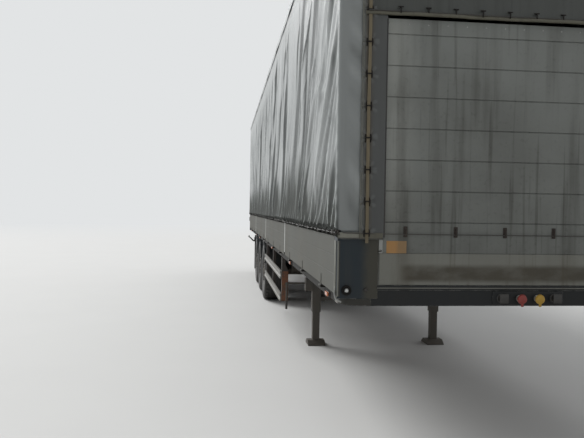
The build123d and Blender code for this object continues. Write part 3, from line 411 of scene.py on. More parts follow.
def rgb(red: int, green: int, blue: int) -> Colour:
    """A colour as it looks on a screen, turned into the renderer's own values.

    Args:
        red: red from 0 to 255.
        green: green from 0 to 255.
        blue: blue from 0 to 255.

    Returns:
        Linear red, green, blue and full alpha.
    """
    def linear(value: int) -> float:
        """Linear value of one channel."""
        share = value / 255
        return share / 12.92 if share <= 0.04045 else ((share + 0.055) / 1.055) ** 2.4

    return linear(red), linear(green), linear(blue), 1.0


def shaded(colour: Colour, *factors: float) -> Colour:
    """A colour with its channels multiplied, by one factor or by one each, up to full.

    Args:
        colour: the colour.
        factors: one factor for all channels, or one for each of red, green and blue.

    Returns:
        The darker or paler colour.
    """
    shares = factors if len(factors) == 3 else factors * 3
    return (*(min(1.0, value * share) for value, share in zip(colour, shares)), 1.0)


class NodeBoard:
    """A node tree while it is wired: adds nodes and feeds their sockets."""

    def __init__(self, tree: bpy.types.NodeTree) -> None:
        """Start with the tree to wire."""
        self.tree = tree

    def feed(self, socket: Socket, value: object) -> None:
        """Link an output to a socket, or set the socket's value."""
        if isinstance(value, Socket):
            self.tree.links.new(value, socket)
        else:
            socket.default_value = value

    def add(self, kind: str, inputs: dict[str | int, object] | None = None,
            **settings: object) -> bpy.types.Node:
        """Add a node.

        Args:
            kind: the node's type.
            inputs: values or outputs for its sockets, by name or number.
            settings: the node's own options.

        Returns:
            The new node.
        """
        node = self.tree.nodes.new(kind)
        for name, value in settings.items():
            setattr(node, name, value)
        self.fill(node, inputs or {})
        return node

    def place(self, scale: Point = (1, 1, 1)) -> Socket:
        """Object coordinates, stretched by a scale."""
        coordinates = self.add("ShaderNodeTexCoord")
        return self.add("ShaderNodeMapping", {"Vector": coordinates.outputs["Object"], "Scale": scale}).outputs[0]

    def noise(self, scale: float | Socket, stretch: Point = (1, 1, 1), detail: float = 3.0,
              rough: float = 0.55) -> Socket:
        """Soft random values from 0 to 1 over the piece."""
        sockets = {"Vector": self.place(stretch), "Scale": scale, "Detail": detail, "Roughness": rough}
        return self.add("ShaderNodeTexNoise", sockets).outputs["Fac"]

    def waves(self, direction: str, scale: object) -> Socket:
        """Even bands along one direction."""
        return self.add("ShaderNodeTexWave", {"Vector": self.place(), "Scale": scale},
                        wave_type="BANDS", bands_direction=direction).outputs["Fac"]

    def span(self, value: Socket, low: object, high: object,
             out_low: float = 0.0, out_high: float = 1.0) -> Socket:
        """Smooth step of a value from one range to another."""
        return self.add("ShaderNodeMapRange", {
            "Value": value, "From Min": low, "From Max": high, "To Min": out_low, "To Max": out_high,
        }, interpolation_type="SMOOTHSTEP").outputs[0]

    def maths(self, operation: str, first: object, second: object = 0.0, clamp: bool = False) -> Socket:
        """Arithmetic on two values."""
        return self.add("ShaderNodeMath", {0: first, 1: second}, operation=operation, use_clamp=clamp).outputs[0]

    def times(self, first: object, second: object, clamp: bool = False) -> Socket:
        """Product of two values."""
        return self.maths("MULTIPLY", first, second, clamp)

    def plus(self, first: object, second: object, clamp: bool = False) -> Socket:
        """Sum of two values."""
        return self.maths("ADD", first, second, clamp)

    def fill(self, node: bpy.types.Node, inputs: dict[str | int, object]) -> None:
        """Feed several sockets of a node, by name or number."""
        for name, value in inputs.items():
            self.feed(node.inputs[name], value)

    def axes(self) -> bpy.types.NodeOutputs:
        """Object coordinates, one output for each of X, Y and Z."""
        return self.add("ShaderNodeSeparateXYZ", {0: self.place()}).outputs

    def blend(self, share: object, first: object, second: object) -> Socket:
        """Mix of two colours."""
        node = self.add("ShaderNodeMix", {0: share, 6: first, 7: second}, data_type="RGBA")
        return node.outputs[2]

    def bump(self, height: Socket, distance: object, strength: float) -> Socket:
        """Normal of a surface with this relief."""
        sockets = {"Height": height, "Distance": distance, "Strength": strength}
        return self.add("ShaderNodeBump", sockets).outputs["Normal"]

    def height(self) -> Socket:
        """Height above the ground."""
        return self.axes()["Z"]


class Effects:
    """Node groups that several finishes share, each made once."""

    @staticmethod
    def _group(name: str, inputs: dict[str, str], outputs: dict[str, str]) -> tuple[NodeBoard, dict, bpy.types.Node]:
        """A new group with its sockets.

        Args:
            name: the group's name.
            inputs: kinds of its input sockets, by name.
            outputs: kinds of its output sockets, by name.

        Returns:
            Its board, its input sockets by name, and its output node.
        """
        tree = bpy.data.node_groups.new(name, "ShaderNodeTree")
        for direction, sockets in (("INPUT", inputs), ("OUTPUT", outputs)):
            for socket, kind in sockets.items():
                tree.interface.new_socket(name=socket, in_out=direction, socket_type=f"NodeSocket{kind}")
        board = NodeBoard(tree)
        entry = board.add("NodeGroupInput")
        exit_node = board.add("NodeGroupOutput")
        return board, {socket.name: socket for socket in entry.outputs if socket.name}, exit_node

    @staticmethod
    def use(board: NodeBoard, name: str, inputs: dict[str, object]) -> bpy.types.Node:
        """Place a shared effect in a material.

        Args:
            board: the material's board.
            name: the effect's name.
            inputs: values for its sockets.

        Returns:
            The group node.
        """
        makers = {"road_dirt": Effects.road_dirt, "surface_grain": Effects.surface_grain,
                  "rust": Effects.rust, "edge_wear": Effects.edge_wear, "coated_weave": Effects.coated_weave}
        tree = bpy.data.node_groups.get(name) or makers[name]()
        node = board.add("ShaderNodeGroup", node_tree=tree)
        board.fill(node, inputs)
        return node

    @staticmethod
    def road_dirt() -> bpy.types.NodeTree:
        """Dust that climbs from the road, with rain streaks and specks.

        Returns:
            The group's node tree.
        """
        board, given, result = Effects._group(
            "road_dirt",
            {"Colour": "Color", "Dirt": "Color", "Amount": "Float", "Climb": "Float", "Streaks": "Float"},
            {"Colour": "Color", "Mask": "Float"})
        low = board.span(board.height(), given["Climb"], 0.0)
        patch = board.span(board.noise(1.3, detail=5), 0.38, 0.7)
        specks = board.span(board.noise(38, detail=2), 0.55, 0.75)
        runs = board.span(board.noise(9, (1, 1, 0.07), detail=4), 0.5, 0.72)
        thin_runs = board.span(board.noise(34, (1, 1, 0.03), detail=2), 0.56, 0.74)
        spread = board.plus(board.times(low, 0.55), board.times(patch, 0.3))
        spread = board.plus(spread, board.times(specks, 0.12))
        rain = board.times(board.plus(runs, thin_runs), given["Streaks"])
        mask = board.plus(board.times(spread, given["Amount"]), board.times(rain, 0.5), clamp=True)
        board.fill(result, {"Colour": board.blend(mask, given["Colour"], given["Dirt"]), "Mask": mask})
        return board.tree

    @staticmethod
    def surface_grain() -> bpy.types.NodeTree:
        """Small unevenness of a surface, as a normal.

        Returns:
            The group's node tree.
        """
        board, given, result = Effects._group(
            "surface_grain", {"Scale": "Float", "Depth": "Float"}, {"Normal": "Vector"})
        fine = board.noise(given["Scale"], detail=4)
        board.feed(result.inputs["Normal"], board.bump(fine, given["Depth"], 0.8))
        return board.tree

    @staticmethod
    def rust() -> bpy.types.NodeTree:
        """Rust in spots that grow together.

        Returns:
            The group's node tree.
        """
        board, given, result = Effects._group(
            "rust", {"Colour": "Color", "Amount": "Float"}, {"Colour": "Color", "Mask": "Float"})
        spots = board.noise(11, detail=8, rough=0.68)
        edge = board.maths("SUBTRACT", 0.86, board.times(given["Amount"], 0.5))
        mask = board.span(spots, edge, board.plus(edge, 0.09))
        tone = board.blend(board.noise(60, detail=5), rgb(84, 46, 28), rgb(142, 84, 48))
        board.fill(result, {"Colour": board.blend(mask, given["Colour"], tone), "Mask": mask})
        return board.tree

    @staticmethod
    def edge_wear() -> bpy.types.NodeTree:
        """Mask of edges where the paint is rubbed thin.

        Returns:
            The group's node tree.
        """
        board, given, result = Effects._group(
            "edge_wear", {"Width": "Float", "Amount": "Float"}, {"Mask": "Float"})
        soft = board.add("ShaderNodeBevel", {"Radius": given["Width"]}, samples=4)
        plain = board.add("ShaderNodeNewGeometry")
        bent = board.add("ShaderNodeVectorMath", {0: soft.outputs[0], 1: plain.outputs["Normal"]},
                         operation="DOT_PRODUCT").outputs["Value"]
        edge = board.span(bent, 0.995, 0.86)
        worn = board.span(board.noise(24, detail=5), 0.42, 0.62)
        mask = board.times(board.times(edge, worn), given["Amount"], clamp=True)
        board.feed(result.inputs["Mask"], mask)
        return board.tree

    @staticmethod
    def coated_weave() -> bpy.types.NodeTree:
        """Height of a coated fabric: its weave under the coating and small creases.

        Returns:
            The group's node tree.
        """
        board, given, result = Effects._group(
            "coated_weave", {"Pitch": "Float", "Creases": "Float"}, {"Height": "Float"})
        weave = board.times(board.plus(board.waves("X", given["Pitch"]), board.waves("Z", given["Pitch"])), 0.03)
        crease = board.maths("ABSOLUTE", board.maths("SUBTRACT", board.noise(3.2, (1, 1, 0.35), detail=5), 0.5))
        crumple = board.times(crease, given["Creases"])
        board.feed(result.inputs["Height"], board.plus(weave, crumple))
        return board.tree


ROAD_DUST = rgb(104, 97, 87)
BARE_METAL = rgb(150, 148, 144)


@dataclass(frozen=True)
class Finish:
    """A hard surface: its colour, gloss and unevenness, and what the road left on it."""

    name: str
    colour: Colour
    rough: float = 0.5
    metal: float = 0.0
    dirt: float = 0.5
    climb: float = 1.6
    streaks: float = 0.1
    rust: float = 0.0
    wear: float = 0.0
    grain: float = 90.0
    depth: float = 0.0004
    gloss: float = 0.5
    dirt_colour: Colour = ROAD_DUST
    other_tone: Colour | None = None
    tone_change: Pair = (0.0, 1.0)
    grimy_band: tuple[float, float, float] | None = None

    def material(self) -> bpy.types.Material:
        """The finish's material, made once."""
        found = bpy.data.materials.get(self.title)
        return found or self._make()

    @property
    def title(self) -> str:
        """The material's name, apart from the names of the frame's own materials."""
        return f"look_{self.name}"

    def _board(self) -> tuple[bpy.types.Material, NodeBoard, bpy.types.Node]:
        """A new material with its board and its shader.

        Returns:
            The material, its board and its shader.
        """
        made = bpy.data.materials.new(self.title)
        made.use_nodes = True
        made.diffuse_color = self.colour
        board = NodeBoard(made.node_tree)
        return made, board, made.node_tree.nodes["Principled BSDF"]

    def _colour(self, board: NodeBoard) -> tuple[object, Socket]:
        """Colour with its patches, wear, rust and dirt.

        Args:
            board: the material's board.

        Returns:
            The colour, and the mask of all that dulls the surface.
        """
        tone = board.blend(board.noise(2.1, detail=4), self.colour, shaded(self.colour, 0.78))
        tone = self._across(board, tone)
        if self.wear:
            worn = Effects.use(board, "edge_wear", {"Width": 0.006, "Amount": self.wear})
            tone = board.blend(worn.outputs["Mask"], tone, BARE_METAL)
        if self.rust:
            rusty = Effects.use(board, "rust", {"Colour": tone, "Amount": self.rust})
            tone = rusty.outputs["Colour"]
        dirt = Effects.use(board, "road_dirt", {
            "Colour": tone, "Dirt": self.dirt_colour, "Amount": self.dirt, "Climb": self.climb,
            "Streaks": self.streaks})
        return dirt.outputs["Colour"], dirt.outputs["Mask"]

    def _across(self, board: NodeBoard, tone: Socket) -> Socket:
        """Change of the colour across the trailer, and grime with painted shade in a level band, where the finish has
        them.

        Args:
            board: the material's board.
            tone: the colour so far.

        Returns:
            The new colour.
        """
        if self.other_tone is None and self.grimy_band is None:
            return tone
        parts = board.axes()
        across = board.maths("ABSOLUTE", parts["Y"])
        if self.other_tone:
            wander = board.span(board.noise(9, detail=6), 0.3, 0.7, -0.012, 0.012)
            share = board.span(board.plus(across, wander), *self.tone_change)
            tone = board.blend(share, tone, self.other_tone)
        # a dark level band, partly a real stain and partly painted shade
        if self.grimy_band:
            low, high, reach = self.grimy_band
            inside = board.times(board.span(parts["Z"], low, low + 0.04),
                                 board.span(parts["Z"], high, high - 0.04))
            inside = board.times(inside, board.span(across, reach, reach - 0.09))
            patchy = board.span(board.noise(6, (1, 1, 2), detail=6), 0.25, 0.6, 0.6, 1.0)
            tone = board.blend(board.times(inside, patchy), tone, rgb(58, 54, 44))
        return tone

    def _make(self) -> bpy.types.Material:
        """Wire the material.

        Returns:
            The new material.
        """
        made, board, shader = self._board()
        tone, mask = self._colour(board)
        grain = Effects.use(board, "surface_grain", {"Scale": self.grain, "Depth": self.depth})
        board.fill(shader, {
            "Base Color": tone, "Roughness": board.span(mask, 0.0, 0.8, self.rough, 0.85), "Metallic": self.metal,
            "Specular IOR Level": self.gloss, "Normal": grain.outputs["Normal"]})
        return made


@dataclass(frozen=True)
class ClothFinish(Finish):
    """Coated tarpaulin, dirtier towards its hem, with a weave under the coating, and painted shade and highlights on
    its folds.
    """

    pitch: float = 320.0
    creases: float = 0.35
    hem_height: float = 1.55
    paler_above: float = 0.5
    coat: float = 0.5
    stain: Pair | None = None
    strip_shade: float = 0.0
    corner: Pair = (1.245, 1.266)

    def _stained(self, board: NodeBoard, tone: Socket) -> Socket:
        """Brown stains that run down beside a strap, and a paler outer edge.

        Args:
            board: the material's board.
            tone: the colour so far.

        Returns:
            The new colour.
        """
        middle, reach = self.stain
        across = board.maths("ABSOLUTE", board.axes()["Y"])
        away = board.maths("ABSOLUTE", board.maths("SUBTRACT", across, middle))
        tone = board.blend(board.span(across, middle, middle + reach, 0.0, 0.7), tone, rgb(98, 100, 96))
        runs = board.span(board.noise(7, (1, 3, 0.25), detail=5), 0.3, 0.62)
        share = board.times(board.span(away, reach * 0.75, reach * 0.2), runs)
        return board.blend(board.times(share, 0.85), tone, rgb(62, 55, 42))

    def _creased(self, board: NodeBoard, tone: Socket) -> tuple[Socket, Socket]:
        """Painted shade in the hollows of the folds, and painted highlights on their crests.

        Args:
            board: the material's board.
            tone: the colour so far.

        Returns:
            The new colour, and the mask of the painted shade.
        """
        relief = board.add("ShaderNodeAttribute", attribute_name="relief").outputs["Fac"]
        valley_shade = board.span(relief, 0.0, -1.0)
        # painted shade: hollows and front-facing slopes darkened to a third of the colour
        tone = board.blend(board.times(valley_shade, 0.82), tone, shaded(self.colour, 0.34))
        # painted highlight: crests and rear-facing slopes made paler
        return board.blend(board.span(relief, 0.0, 1.0, 0.0, 0.75), tone, shaded(self.colour, 1.7)), valley_shade

    def _make(self) -> bpy.types.Material:
        """Wire the material.

        Returns:
            The new material.
        """
        made, board, shader = self._board()
        height = board.height()
        parts = board.axes()
        across = board.maths("ABSOLUTE", parts["Y"])
        runs = board.noise(3.4, (1, 1, 0.16), detail=5)
        line = board.plus(height, board.times(runs, 0.9))
        line = board.plus(line, board.span(parts["X"], 4.9, 6.4, 0.0, 0.22))
        low = board.span(line, self.hem_height + 1.30, self.hem_height + 0.66)
        low = board.times(low, board.span(across, *self.corner, 0.12, 1.0))
        # dark tone of the dirt near the hem and in patches, also used as painted shade on the front strip
        grime_and_shade = shaded(self.colour, 0.235, 0.235, 0.22)
        # paler towards the top
        paler_above = board.times(board.span(height, self.hem_height + 0.7, self.hem_height + 2.4), self.paler_above)
        tone = board.blend(paler_above, self.colour, shaded(self.colour, 1.22))
        tone = board.blend(board.span(board.noise(1.1, (1, 1, 0.5), detail=6), 0.45, 0.8, 0.0, 0.22), tone, grime_and_shade)
        tone = board.blend(board.times(low, self.dirt, clamp=True), tone, grime_and_shade)
        # painted shade: the strip on the front face is darkened for the shade that falls on the front
        if self.strip_shade:
            strip = board.span(across, *reversed(self.corner), 0.0, self.strip_shade)
            tone = board.blend(strip, tone, grime_and_shade)
        tone, valley_shade = self._creased(board, tone)
        if self.stain:
            tone = self._stained(board, tone)
        dirt = Effects.use(board, "road_dirt", {
            "Colour": tone, "Dirt": grime_and_shade, "Amount": 0.15 * self.dirt, "Climb": 0.5, "Streaks": self.streaks})
        dull = board.plus(dirt.outputs["Mask"], board.times(low, 0.6), clamp=True)
        matt = board.plus(board.times(low, 1.1), valley_shade, clamp=True)
        weave = Effects.use(board, "coated_weave", {"Pitch": self.pitch, "Creases": self.creases})
        board.fill(shader, {
            "Base Color": dirt.outputs["Colour"], "Roughness": board.span(dull, 0.0, 0.7, self.rough, 0.7),
            "Coat Weight": board.span(matt, 0.0, 0.8, self.coat, 0.0), "Coat Roughness": 0.24,
            "Specular IOR Level": board.span(matt, 0.0, 1.0, self.gloss, 0.05),
            "Normal": board.bump(weave.outputs["Height"], 0.02, 0.35)})
        return made


@dataclass(frozen=True)
class LensFinish(Finish):
    """Moulded lamp lens with ribs that spread the light."""

    def _make(self) -> bpy.types.Material:
        """Wire the material.

        Returns:
            The new material.
        """
        made, board, shader = self._board()
        dirt = Effects.use(board, "road_dirt", {
            "Colour": self.colour, "Dirt": self.dirt_colour, "Amount": self.dirt, "Climb": 2.0, "Streaks": 0.0})
        board.fill(shader, {
            "Base Color": dirt.outputs["Colour"], "Coat Weight": 0.6,
            "Roughness": board.span(dirt.outputs["Mask"], 0.0, 0.7, self.rough, 0.6),
            "Normal": board.bump(board.waves("Z", 45.0), 0.002, 0.5)})
        return made


@dataclass(frozen=True)
class WoodFinish(Finish):
    """Floor of coated plywood, with grain along the trailer and worn wheel lanes."""

    def _make(self) -> bpy.types.Material:
        """Wire the material.

        Returns:
            The new material.
        """
        made, board, shader = self._board()
        fibre = board.noise(16, (0.06, 1, 1), detail=8)
        worn = board.span(board.noise(1.6, (0.3, 1, 1), detail=5), 0.45, 0.7)
        tone = board.blend(fibre, self.colour, rgb(74, 52, 36))
        tone = board.blend(board.times(worn, 0.6), tone, rgb(140, 120, 96))
        board.fill(shader, {"Base Color": tone, "Roughness": board.span(worn, 0.0, 1.0, 0.5, 0.8),
                            "Normal": board.bump(fibre, 0.002, 0.4)})
        return made


COVER_CLOTH = ClothFinish("cover_cloth", rgb(132, 136, 135), rough=0.34, dirt=1.0, streaks=0.12, strip_shade=0.16)
HEM_CLOTH = ClothFinish("hem_cloth", rgb(124, 123, 113), rough=0.5, dirt=0.5, streaks=0.4, coat=0.1)
FLAP_HEM = ClothFinish("flap_hem", rgb(90, 88, 76), rough=0.6, dirt=0.6, streaks=0.5, coat=0.0)
# The front sheet and the closing flaps are the cover's fabric painted much darker: painted shade of the front face,
# besides their own dirt.
FRONT_CLOTH = ClothFinish("front_cloth", rgb(53, 56, 52), rough=0.45, dirt=0.6, streaks=0.5, paler_above=0.1, coat=0.15)
FLAP_CLOTH = ClothFinish("flap_cloth", rgb(66, 68, 67), rough=0.46, dirt=0.6, streaks=0.3, paler_above=0.2,
                         coat=0.15, stain=(1.079, 0.055))
ROOF_CLOTH = ClothFinish("roof_cloth", rgb(158, 161, 160), rough=0.42, dirt=0.6, streaks=0.05,
                         hem_height=3.2, creases=0.5)
WEBBING = ClothFinish("webbing", rgb(118, 108, 87), rough=0.8, dirt=0.8, streaks=0.4, pitch=900.0, creases=0.1,
                      coat=0.0)
KNOT_ROPE = Finish("knot_rope", rgb(50, 46, 42), rough=0.8, dirt=0.3, grain=500.0)
HOOK_STEEL = Finish("hook_steel", rgb(46, 38, 35), rough=0.6, gloss=0.3, dirt=0.3, climb=2.4, rust=0.25)
LASHING = Finish("lashing", rgb(56, 54, 51), rough=0.6, dirt=0.3, climb=2.0, grain=600.0)
STAPLE_STEEL = Finish("staple_steel", rgb(26, 23, 21), rough=0.6, dirt=0.15, rust=0.1, gloss=0.2)
EYELET_STEEL = Finish("eyelet_steel", rgb(70, 68, 64), rough=0.6, metal=0.4, dirt=0.4, rust=0.3)
BOARD_ALUMINIUM = Finish("board_aluminium", rgb(97, 98, 94), rough=0.6, dirt=0.4, climb=1.9, gloss=0.04,
                         streaks=0.25, grain=160.0, depth=0.0002)
HEADBOARD_ALUMINIUM = Finish("headboard_aluminium", rgb(122, 125, 121), rough=0.5, metal=0.2, dirt=0.9,
                             climb=3.0, streaks=0.6, grain=140.0, depth=0.0002, dirt_colour=rgb(70, 69, 64),
                             other_tone=rgb(136, 138, 133), tone_change=(0.70, 0.93))
# Its dark band low on the base sheet is partly a stain and partly painted shade.
BASE_ALUMINIUM = Finish("base_aluminium", rgb(124, 125, 118), rough=0.5, metal=0.2, dirt=0.5, climb=2.4,
                        streaks=0.5, grain=140.0, depth=0.0002, dirt_colour=rgb(84, 79, 68),
                        grimy_band=(1.262, 1.402, 0.88))
SKIN_STEEL = Finish("skin_steel", rgb(52, 53, 50), rough=0.6, gloss=0.2, dirt=0.4, climb=1.6, rust=0.2, wear=0.7,
                    other_tone=rgb(122, 121, 114), tone_change=(1.215, 1.230))
POST_ALUMINIUM = Finish("post_aluminium", rgb(150, 151, 148), rough=0.4, metal=0.5, dirt=0.3, climb=2.0)
GUARD_ALUMINIUM = Finish("guard_aluminium", rgb(120, 119, 115), rough=0.45, metal=0.3, gloss=0.3, dirt=0.55, climb=1.4)
CORNER_PAINT = Finish("corner_paint", rgb(36, 45, 51), rough=0.45, gloss=0.25, dirt=0.35, climb=1.6, streaks=0.3,
                      wear=0.5, rust=0.1, dirt_colour=rgb(66, 62, 54), other_tone=rgb(62, 61, 54),
                      tone_change=(1.115, 1.045))
CHASSIS_PAINT = Finish("chassis_paint", rgb(44, 44, 43), rough=0.5, dirt=0.75, climb=1.8, rust=0.25)
FRAME_STEEL = Finish("frame_steel", rgb(28, 31, 33), rough=0.5, gloss=0.25, dirt=0.4, climb=1.7, rust=0.25, wear=0.5,
                     dirt_colour=rgb(58, 54, 48))
RAIL_STEEL = Finish("rail_steel", rgb(27, 27, 26), rough=0.6, gloss=0.12, dirt=0.5, climb=1.8, rust=0.25, wear=0.4,
                    dirt_colour=rgb(66, 61, 54))
POST_STEEL = Finish("post_steel", rgb(54, 48, 44), rough=0.6, dirt=0.5, climb=1.5, rust=0.4,
                    dirt_colour=rgb(70, 62, 54))
RUSTY_STEEL = Finish("rusty_steel", rgb(88, 62, 48), rough=0.7, dirt=0.5, climb=1.5, rust=0.8)
AXLE_PAINT = Finish("axle_paint", rgb(50, 50, 48), rough=0.55, dirt=1.0, climb=1.5, rust=0.45)
LEG_PAINT = Finish("leg_paint", rgb(56, 56, 54), rough=0.5, dirt=0.8, climb=1.6, rust=0.4, wear=0.4)
TANK_PAINT = Finish("tank_paint", rgb(58, 61, 64), rough=0.35, dirt=0.6, climb=1.6, rust=0.15)
REAR_PAINT = Finish("rear_paint", rgb(66, 69, 72), rough=0.4, dirt=0.5, climb=2.2, rust=0.2, wear=0.5)
DOOR_PAINT = Finish("door_paint", rgb(158, 160, 158), rough=0.35, dirt=0.55, climb=2.6, streaks=0.3, wear=0.3)
GEAR_STEEL = Finish("gear_steel", rgb(134, 134, 131), rough=0.38, metal=0.7, dirt=0.5, climb=2.2, rust=0.25)
RIM_PAINT = Finish("rim_paint", rgb(176, 176, 171), rough=0.36, metal=0.2, dirt=0.8, climb=1.3, rust=0.2)
HUB_STEEL = Finish("hub_steel", rgb(82, 80, 76), rough=0.5, metal=0.5, dirt=0.8, climb=1.3, rust=0.45)
TYRE_RUBBER = Finish("tyre_rubber", rgb(28, 28, 28), rough=0.5, dirt=0.5, climb=1.2, grain=240.0,
                     dirt_colour=rgb(66, 61, 55))
BLACK_RUBBER = Finish("black_rubber", rgb(26, 26, 26), rough=0.6, dirt=0.55, climb=1.7, grain=300.0)
RING_RUBBER = Finish("ring_rubber", rgb(13, 13, 13), rough=0.7, gloss=0.15, dirt=0.2, climb=1.5, grain=300.0)
GUARD_PLASTIC = Finish("guard_plastic", rgb(30, 38, 40), rough=0.4, dirt=0.5, climb=1.5, grain=200.0,
                       dirt_colour=rgb(62, 60, 55))
BLACK_PLASTIC = Finish("black_plastic", rgb(30, 31, 32), rough=0.42, dirt=0.4, climb=2.0, grain=260.0)
COUPLING_METAL = Finish("coupling_metal", rgb(150, 148, 142), rough=0.35, metal=0.8, dirt=0.4, climb=2.0)
RED_PAINT = Finish("red_paint", rgb(146, 34, 28), rough=0.4, dirt=0.4, climb=2.0)
YELLOW_PAINT = Finish("yellow_paint", rgb(186, 146, 34), rough=0.4, dirt=0.4, climb=2.0)
PATCH_PAINT = Finish("patch_paint", rgb(188, 136, 74), rough=0.7, dirt=0.8, climb=2.6, streaks=0.8,
                     dirt_colour=rgb(122, 108, 86))
PLATE_PAINT = Finish("plate_paint", rgb(196, 196, 190), rough=0.4, dirt=0.4, climb=1.5)
FLOOR_WOOD = WoodFinish("floor_wood", rgb(104, 76, 52), rough=0.6)
CLEAR_LENS = LensFinish("clear_lens", rgb(214, 216, 214), rough=0.15, dirt=0.25)
AMBER_LENS = LensFinish("amber_lens", rgb(184, 92, 26), rough=0.18, dirt=0.5)
RED_LENS = LensFinish("red_lens", rgb(158, 16, 16), rough=0.15, dirt=0.25)


def dress(piece: Piece, finish: Finish, body: str = "chassis", slot: str | None = None,
          angle: float = 35.0) -> Piece:
    """Give a new piece its finish and its body.

    Args:
        piece: the piece.
        finish: its finish.
        body: the body that it rides on.
        slot: not used.
        angle: edges flatter than this are smooth, in degrees.

    Returns:
        The same piece.
    """
    piece.data.materials.clear()
    piece.data.materials.append(finish.material())
    Bench.pick(piece)
    bpy.ops.object.shade_smooth_by_angle(angle=math.radians(angle))
    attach(piece, body)
    return piece


def pair(piece: Piece, finish: Finish, name: str = "", slot: str | None = None) -> Piece:
    """Dress a new piece together with its mirror image, joined under its own name or another."""
    return dress(Bench.with_twin(name or piece.name, piece), finish, slot=slot)


@dataclass(frozen=True)
class Places:
    """Main places of the trailer, read from the frame."""

    front: float
    rear: float
    half: float
    top: float
    hem: float
    floor_top: float
    cover_rear: float
    cover_top: float
    wall_back: float = 0.014

    @property
    def wall(self) -> float:
        """X of the headboard's face."""
        return self.front - self.wall_back

    @classmethod
    def read(cls) -> "Places":
        """Read the places from the frame's nodes.

        Returns:
            The places.
        """
        cover_low, cover_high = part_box("cover_left")
        roof_low, roof_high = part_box("cover_roof")
        return cls(front=cover_high.x, rear=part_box("door_left")[0].x, half=cover_high.y, top=roof_high.z,
                   hem=cover_low.z, floor_top=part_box("floor")[1].z, cover_rear=cover_low.x, cover_top=roof_low.z)


def wheel_centre(side: Side, number: int) -> Vector:
    """Middle of one of the frame's wheels, counted from the front."""
    low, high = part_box(f"tyre_{side.word}_{number}")
    return (low + high) / 2


@dataclass
class PhotoCamera:
    """The camera, fitted to the photograph's frame lines."""

    place: Point = (10.6405, -1.9613, 1.7285)
    yaw: float = 0.108
    pitch: float = -0.0158
    roll: float = 0.0162
    focal_pixels: float = 621.04
    photo_width: int = 584
    sensor: float = 36.0

    def build(self) -> None:
        """Make the camera and use it."""
        ahead = Vector((-math.cos(self.yaw) * math.cos(self.pitch),
                        math.sin(self.yaw) * math.cos(self.pitch), math.sin(self.pitch)))
        level = ahead.cross(Vector((0, 0, 1))).normalized()
        upright = level.cross(ahead)
        right = math.cos(self.roll) * level + math.sin(self.roll) * upright
        up = math.cos(self.roll) * upright - math.sin(self.roll) * level
        data = bpy.data.cameras.new("photo_camera")
        data.sensor_fit = "HORIZONTAL"
        data.sensor_width = self.sensor
        data.lens = self.focal_pixels * self.sensor / self.photo_width
        data.clip_end = 300
        camera = Bench.put("photo_camera", data)
        turn = Matrix((right, up, -ahead)).transposed().to_4x4()
        camera.matrix_world = Matrix.Translation(self.place) @ turn
        bpy.context.scene.camera = camera


@dataclass
class Studio:
    """Pale floor and soft light of an overcast day, weaker from ahead."""

    floor_reach: float = 140.0
    floor_fade: Pair = (15.0, 55.0)
    sky_strength: float = 0.72
    background: Colour = rgb(226, 228, 229)
    floor_colour: Colour = rgb(198, 198, 196)
    key_strength: float = 3.1
    key_turn: Point = (math.radians(56), 0.0, math.radians(-54))

    def build(self) -> None:
        """Make the floor, the sky and the lamp."""
        self._floor()
        self._sky()
        self._key()
        bpy.context.scene.view_settings.view_transform = "Standard"

    def _floor(self) -> None:
        """A wide plain floor that turns into the backdrop far away."""
        Bench.pick()
        bpy.ops.mesh.primitive_circle_add(vertices=64, radius=self.floor_reach, fill_type="NGON")
        floor = Bench.take("studio_floor")
        paint = bpy.data.materials.new("studio_floor")
        paint.use_nodes = True
        board = NodeBoard(paint.node_tree)
        shader = paint.node_tree.nodes["Principled BSDF"]
        tone = board.blend(board.noise(0.8, detail=5), self.floor_colour, shaded(self.floor_colour, 0.95))
        board.feed(shader.inputs["Base Color"], tone)
        shader.inputs["Roughness"].default_value = 0.9
        reach = board.add("ShaderNodeVectorMath", {0: board.place()}, operation="LENGTH").outputs["Value"]
        glow = board.add("ShaderNodeEmission", {"Color": self.background})
        mixed = board.add("ShaderNodeMixShader", {
            0: board.span(reach, *self.floor_fade), 1: shader.outputs[0], 2: glow.outputs[0]})
        board.feed(paint.node_tree.nodes["Material Output"].inputs["Surface"], mixed.outputs[0])
        floor.data.materials.append(paint)

    def _sky(self) -> None:
        """A sky that is brighter above and behind, and plain and pale where it is seen or mirrored."""
        world = bpy.data.worlds.new("overcast")
        world.use_nodes = True
        bpy.context.scene.world = world
        board = NodeBoard(world.node_tree)
        shader = world.node_tree.nodes["Background"]
        direction = board.add("ShaderNodeTexCoord").outputs["Generated"]
        parts = board.add("ShaderNodeSeparateXYZ", {0: direction})
        sky = board.blend(board.span(parts.outputs["Z"], -0.1, 0.9), (0.66, 0.67, 0.68, 1), (1.12, 1.13, 1.15, 1))
        path = board.add("ShaderNodeLightPath")
        seen = board.maths("MAXIMUM", path.outputs["Is Camera Ray"], path.outputs["Is Transmission Ray"])
        seen = board.maths("MAXIMUM", seen, path.outputs["Is Glossy Ray"])
        board.feed(shader.inputs["Color"], board.blend(seen, sky, self.background))
        dim = board.times(board.span(parts.outputs["X"], -0.5, 0.8, 1.2, 0.55), self.sky_strength)
        unseen = board.times(board.maths("SUBTRACT", 1.0, seen), dim)
        board.feed(shader.inputs["Strength"], board.plus(seen, unseen))

    def _key(self) -> None:
        """One broad lamp from above the right side, well behind the front face."""
        lamp = bpy.data.lights.new("cloud_light", "SUN")
        lamp.energy = self.key_strength
        lamp.angle = math.radians(30)
        Bench.put("cloud_light", lamp).rotation_euler = self.key_turn


def ramp(value: np.ndarray, length: float, low: float = 0.0) -> np.ndarray:
    """Share that grows with a value, over a length, from low up to 1."""
    return np.clip(value / length, low, 1)


@dataclass(frozen=True)
class FoldKind:
    """One kind of fold: how far apart, how wide and how deep the folds are, and how sharp their crests."""

    pitch: Pair
    width: Pair
    depth: Pair
    crest: float


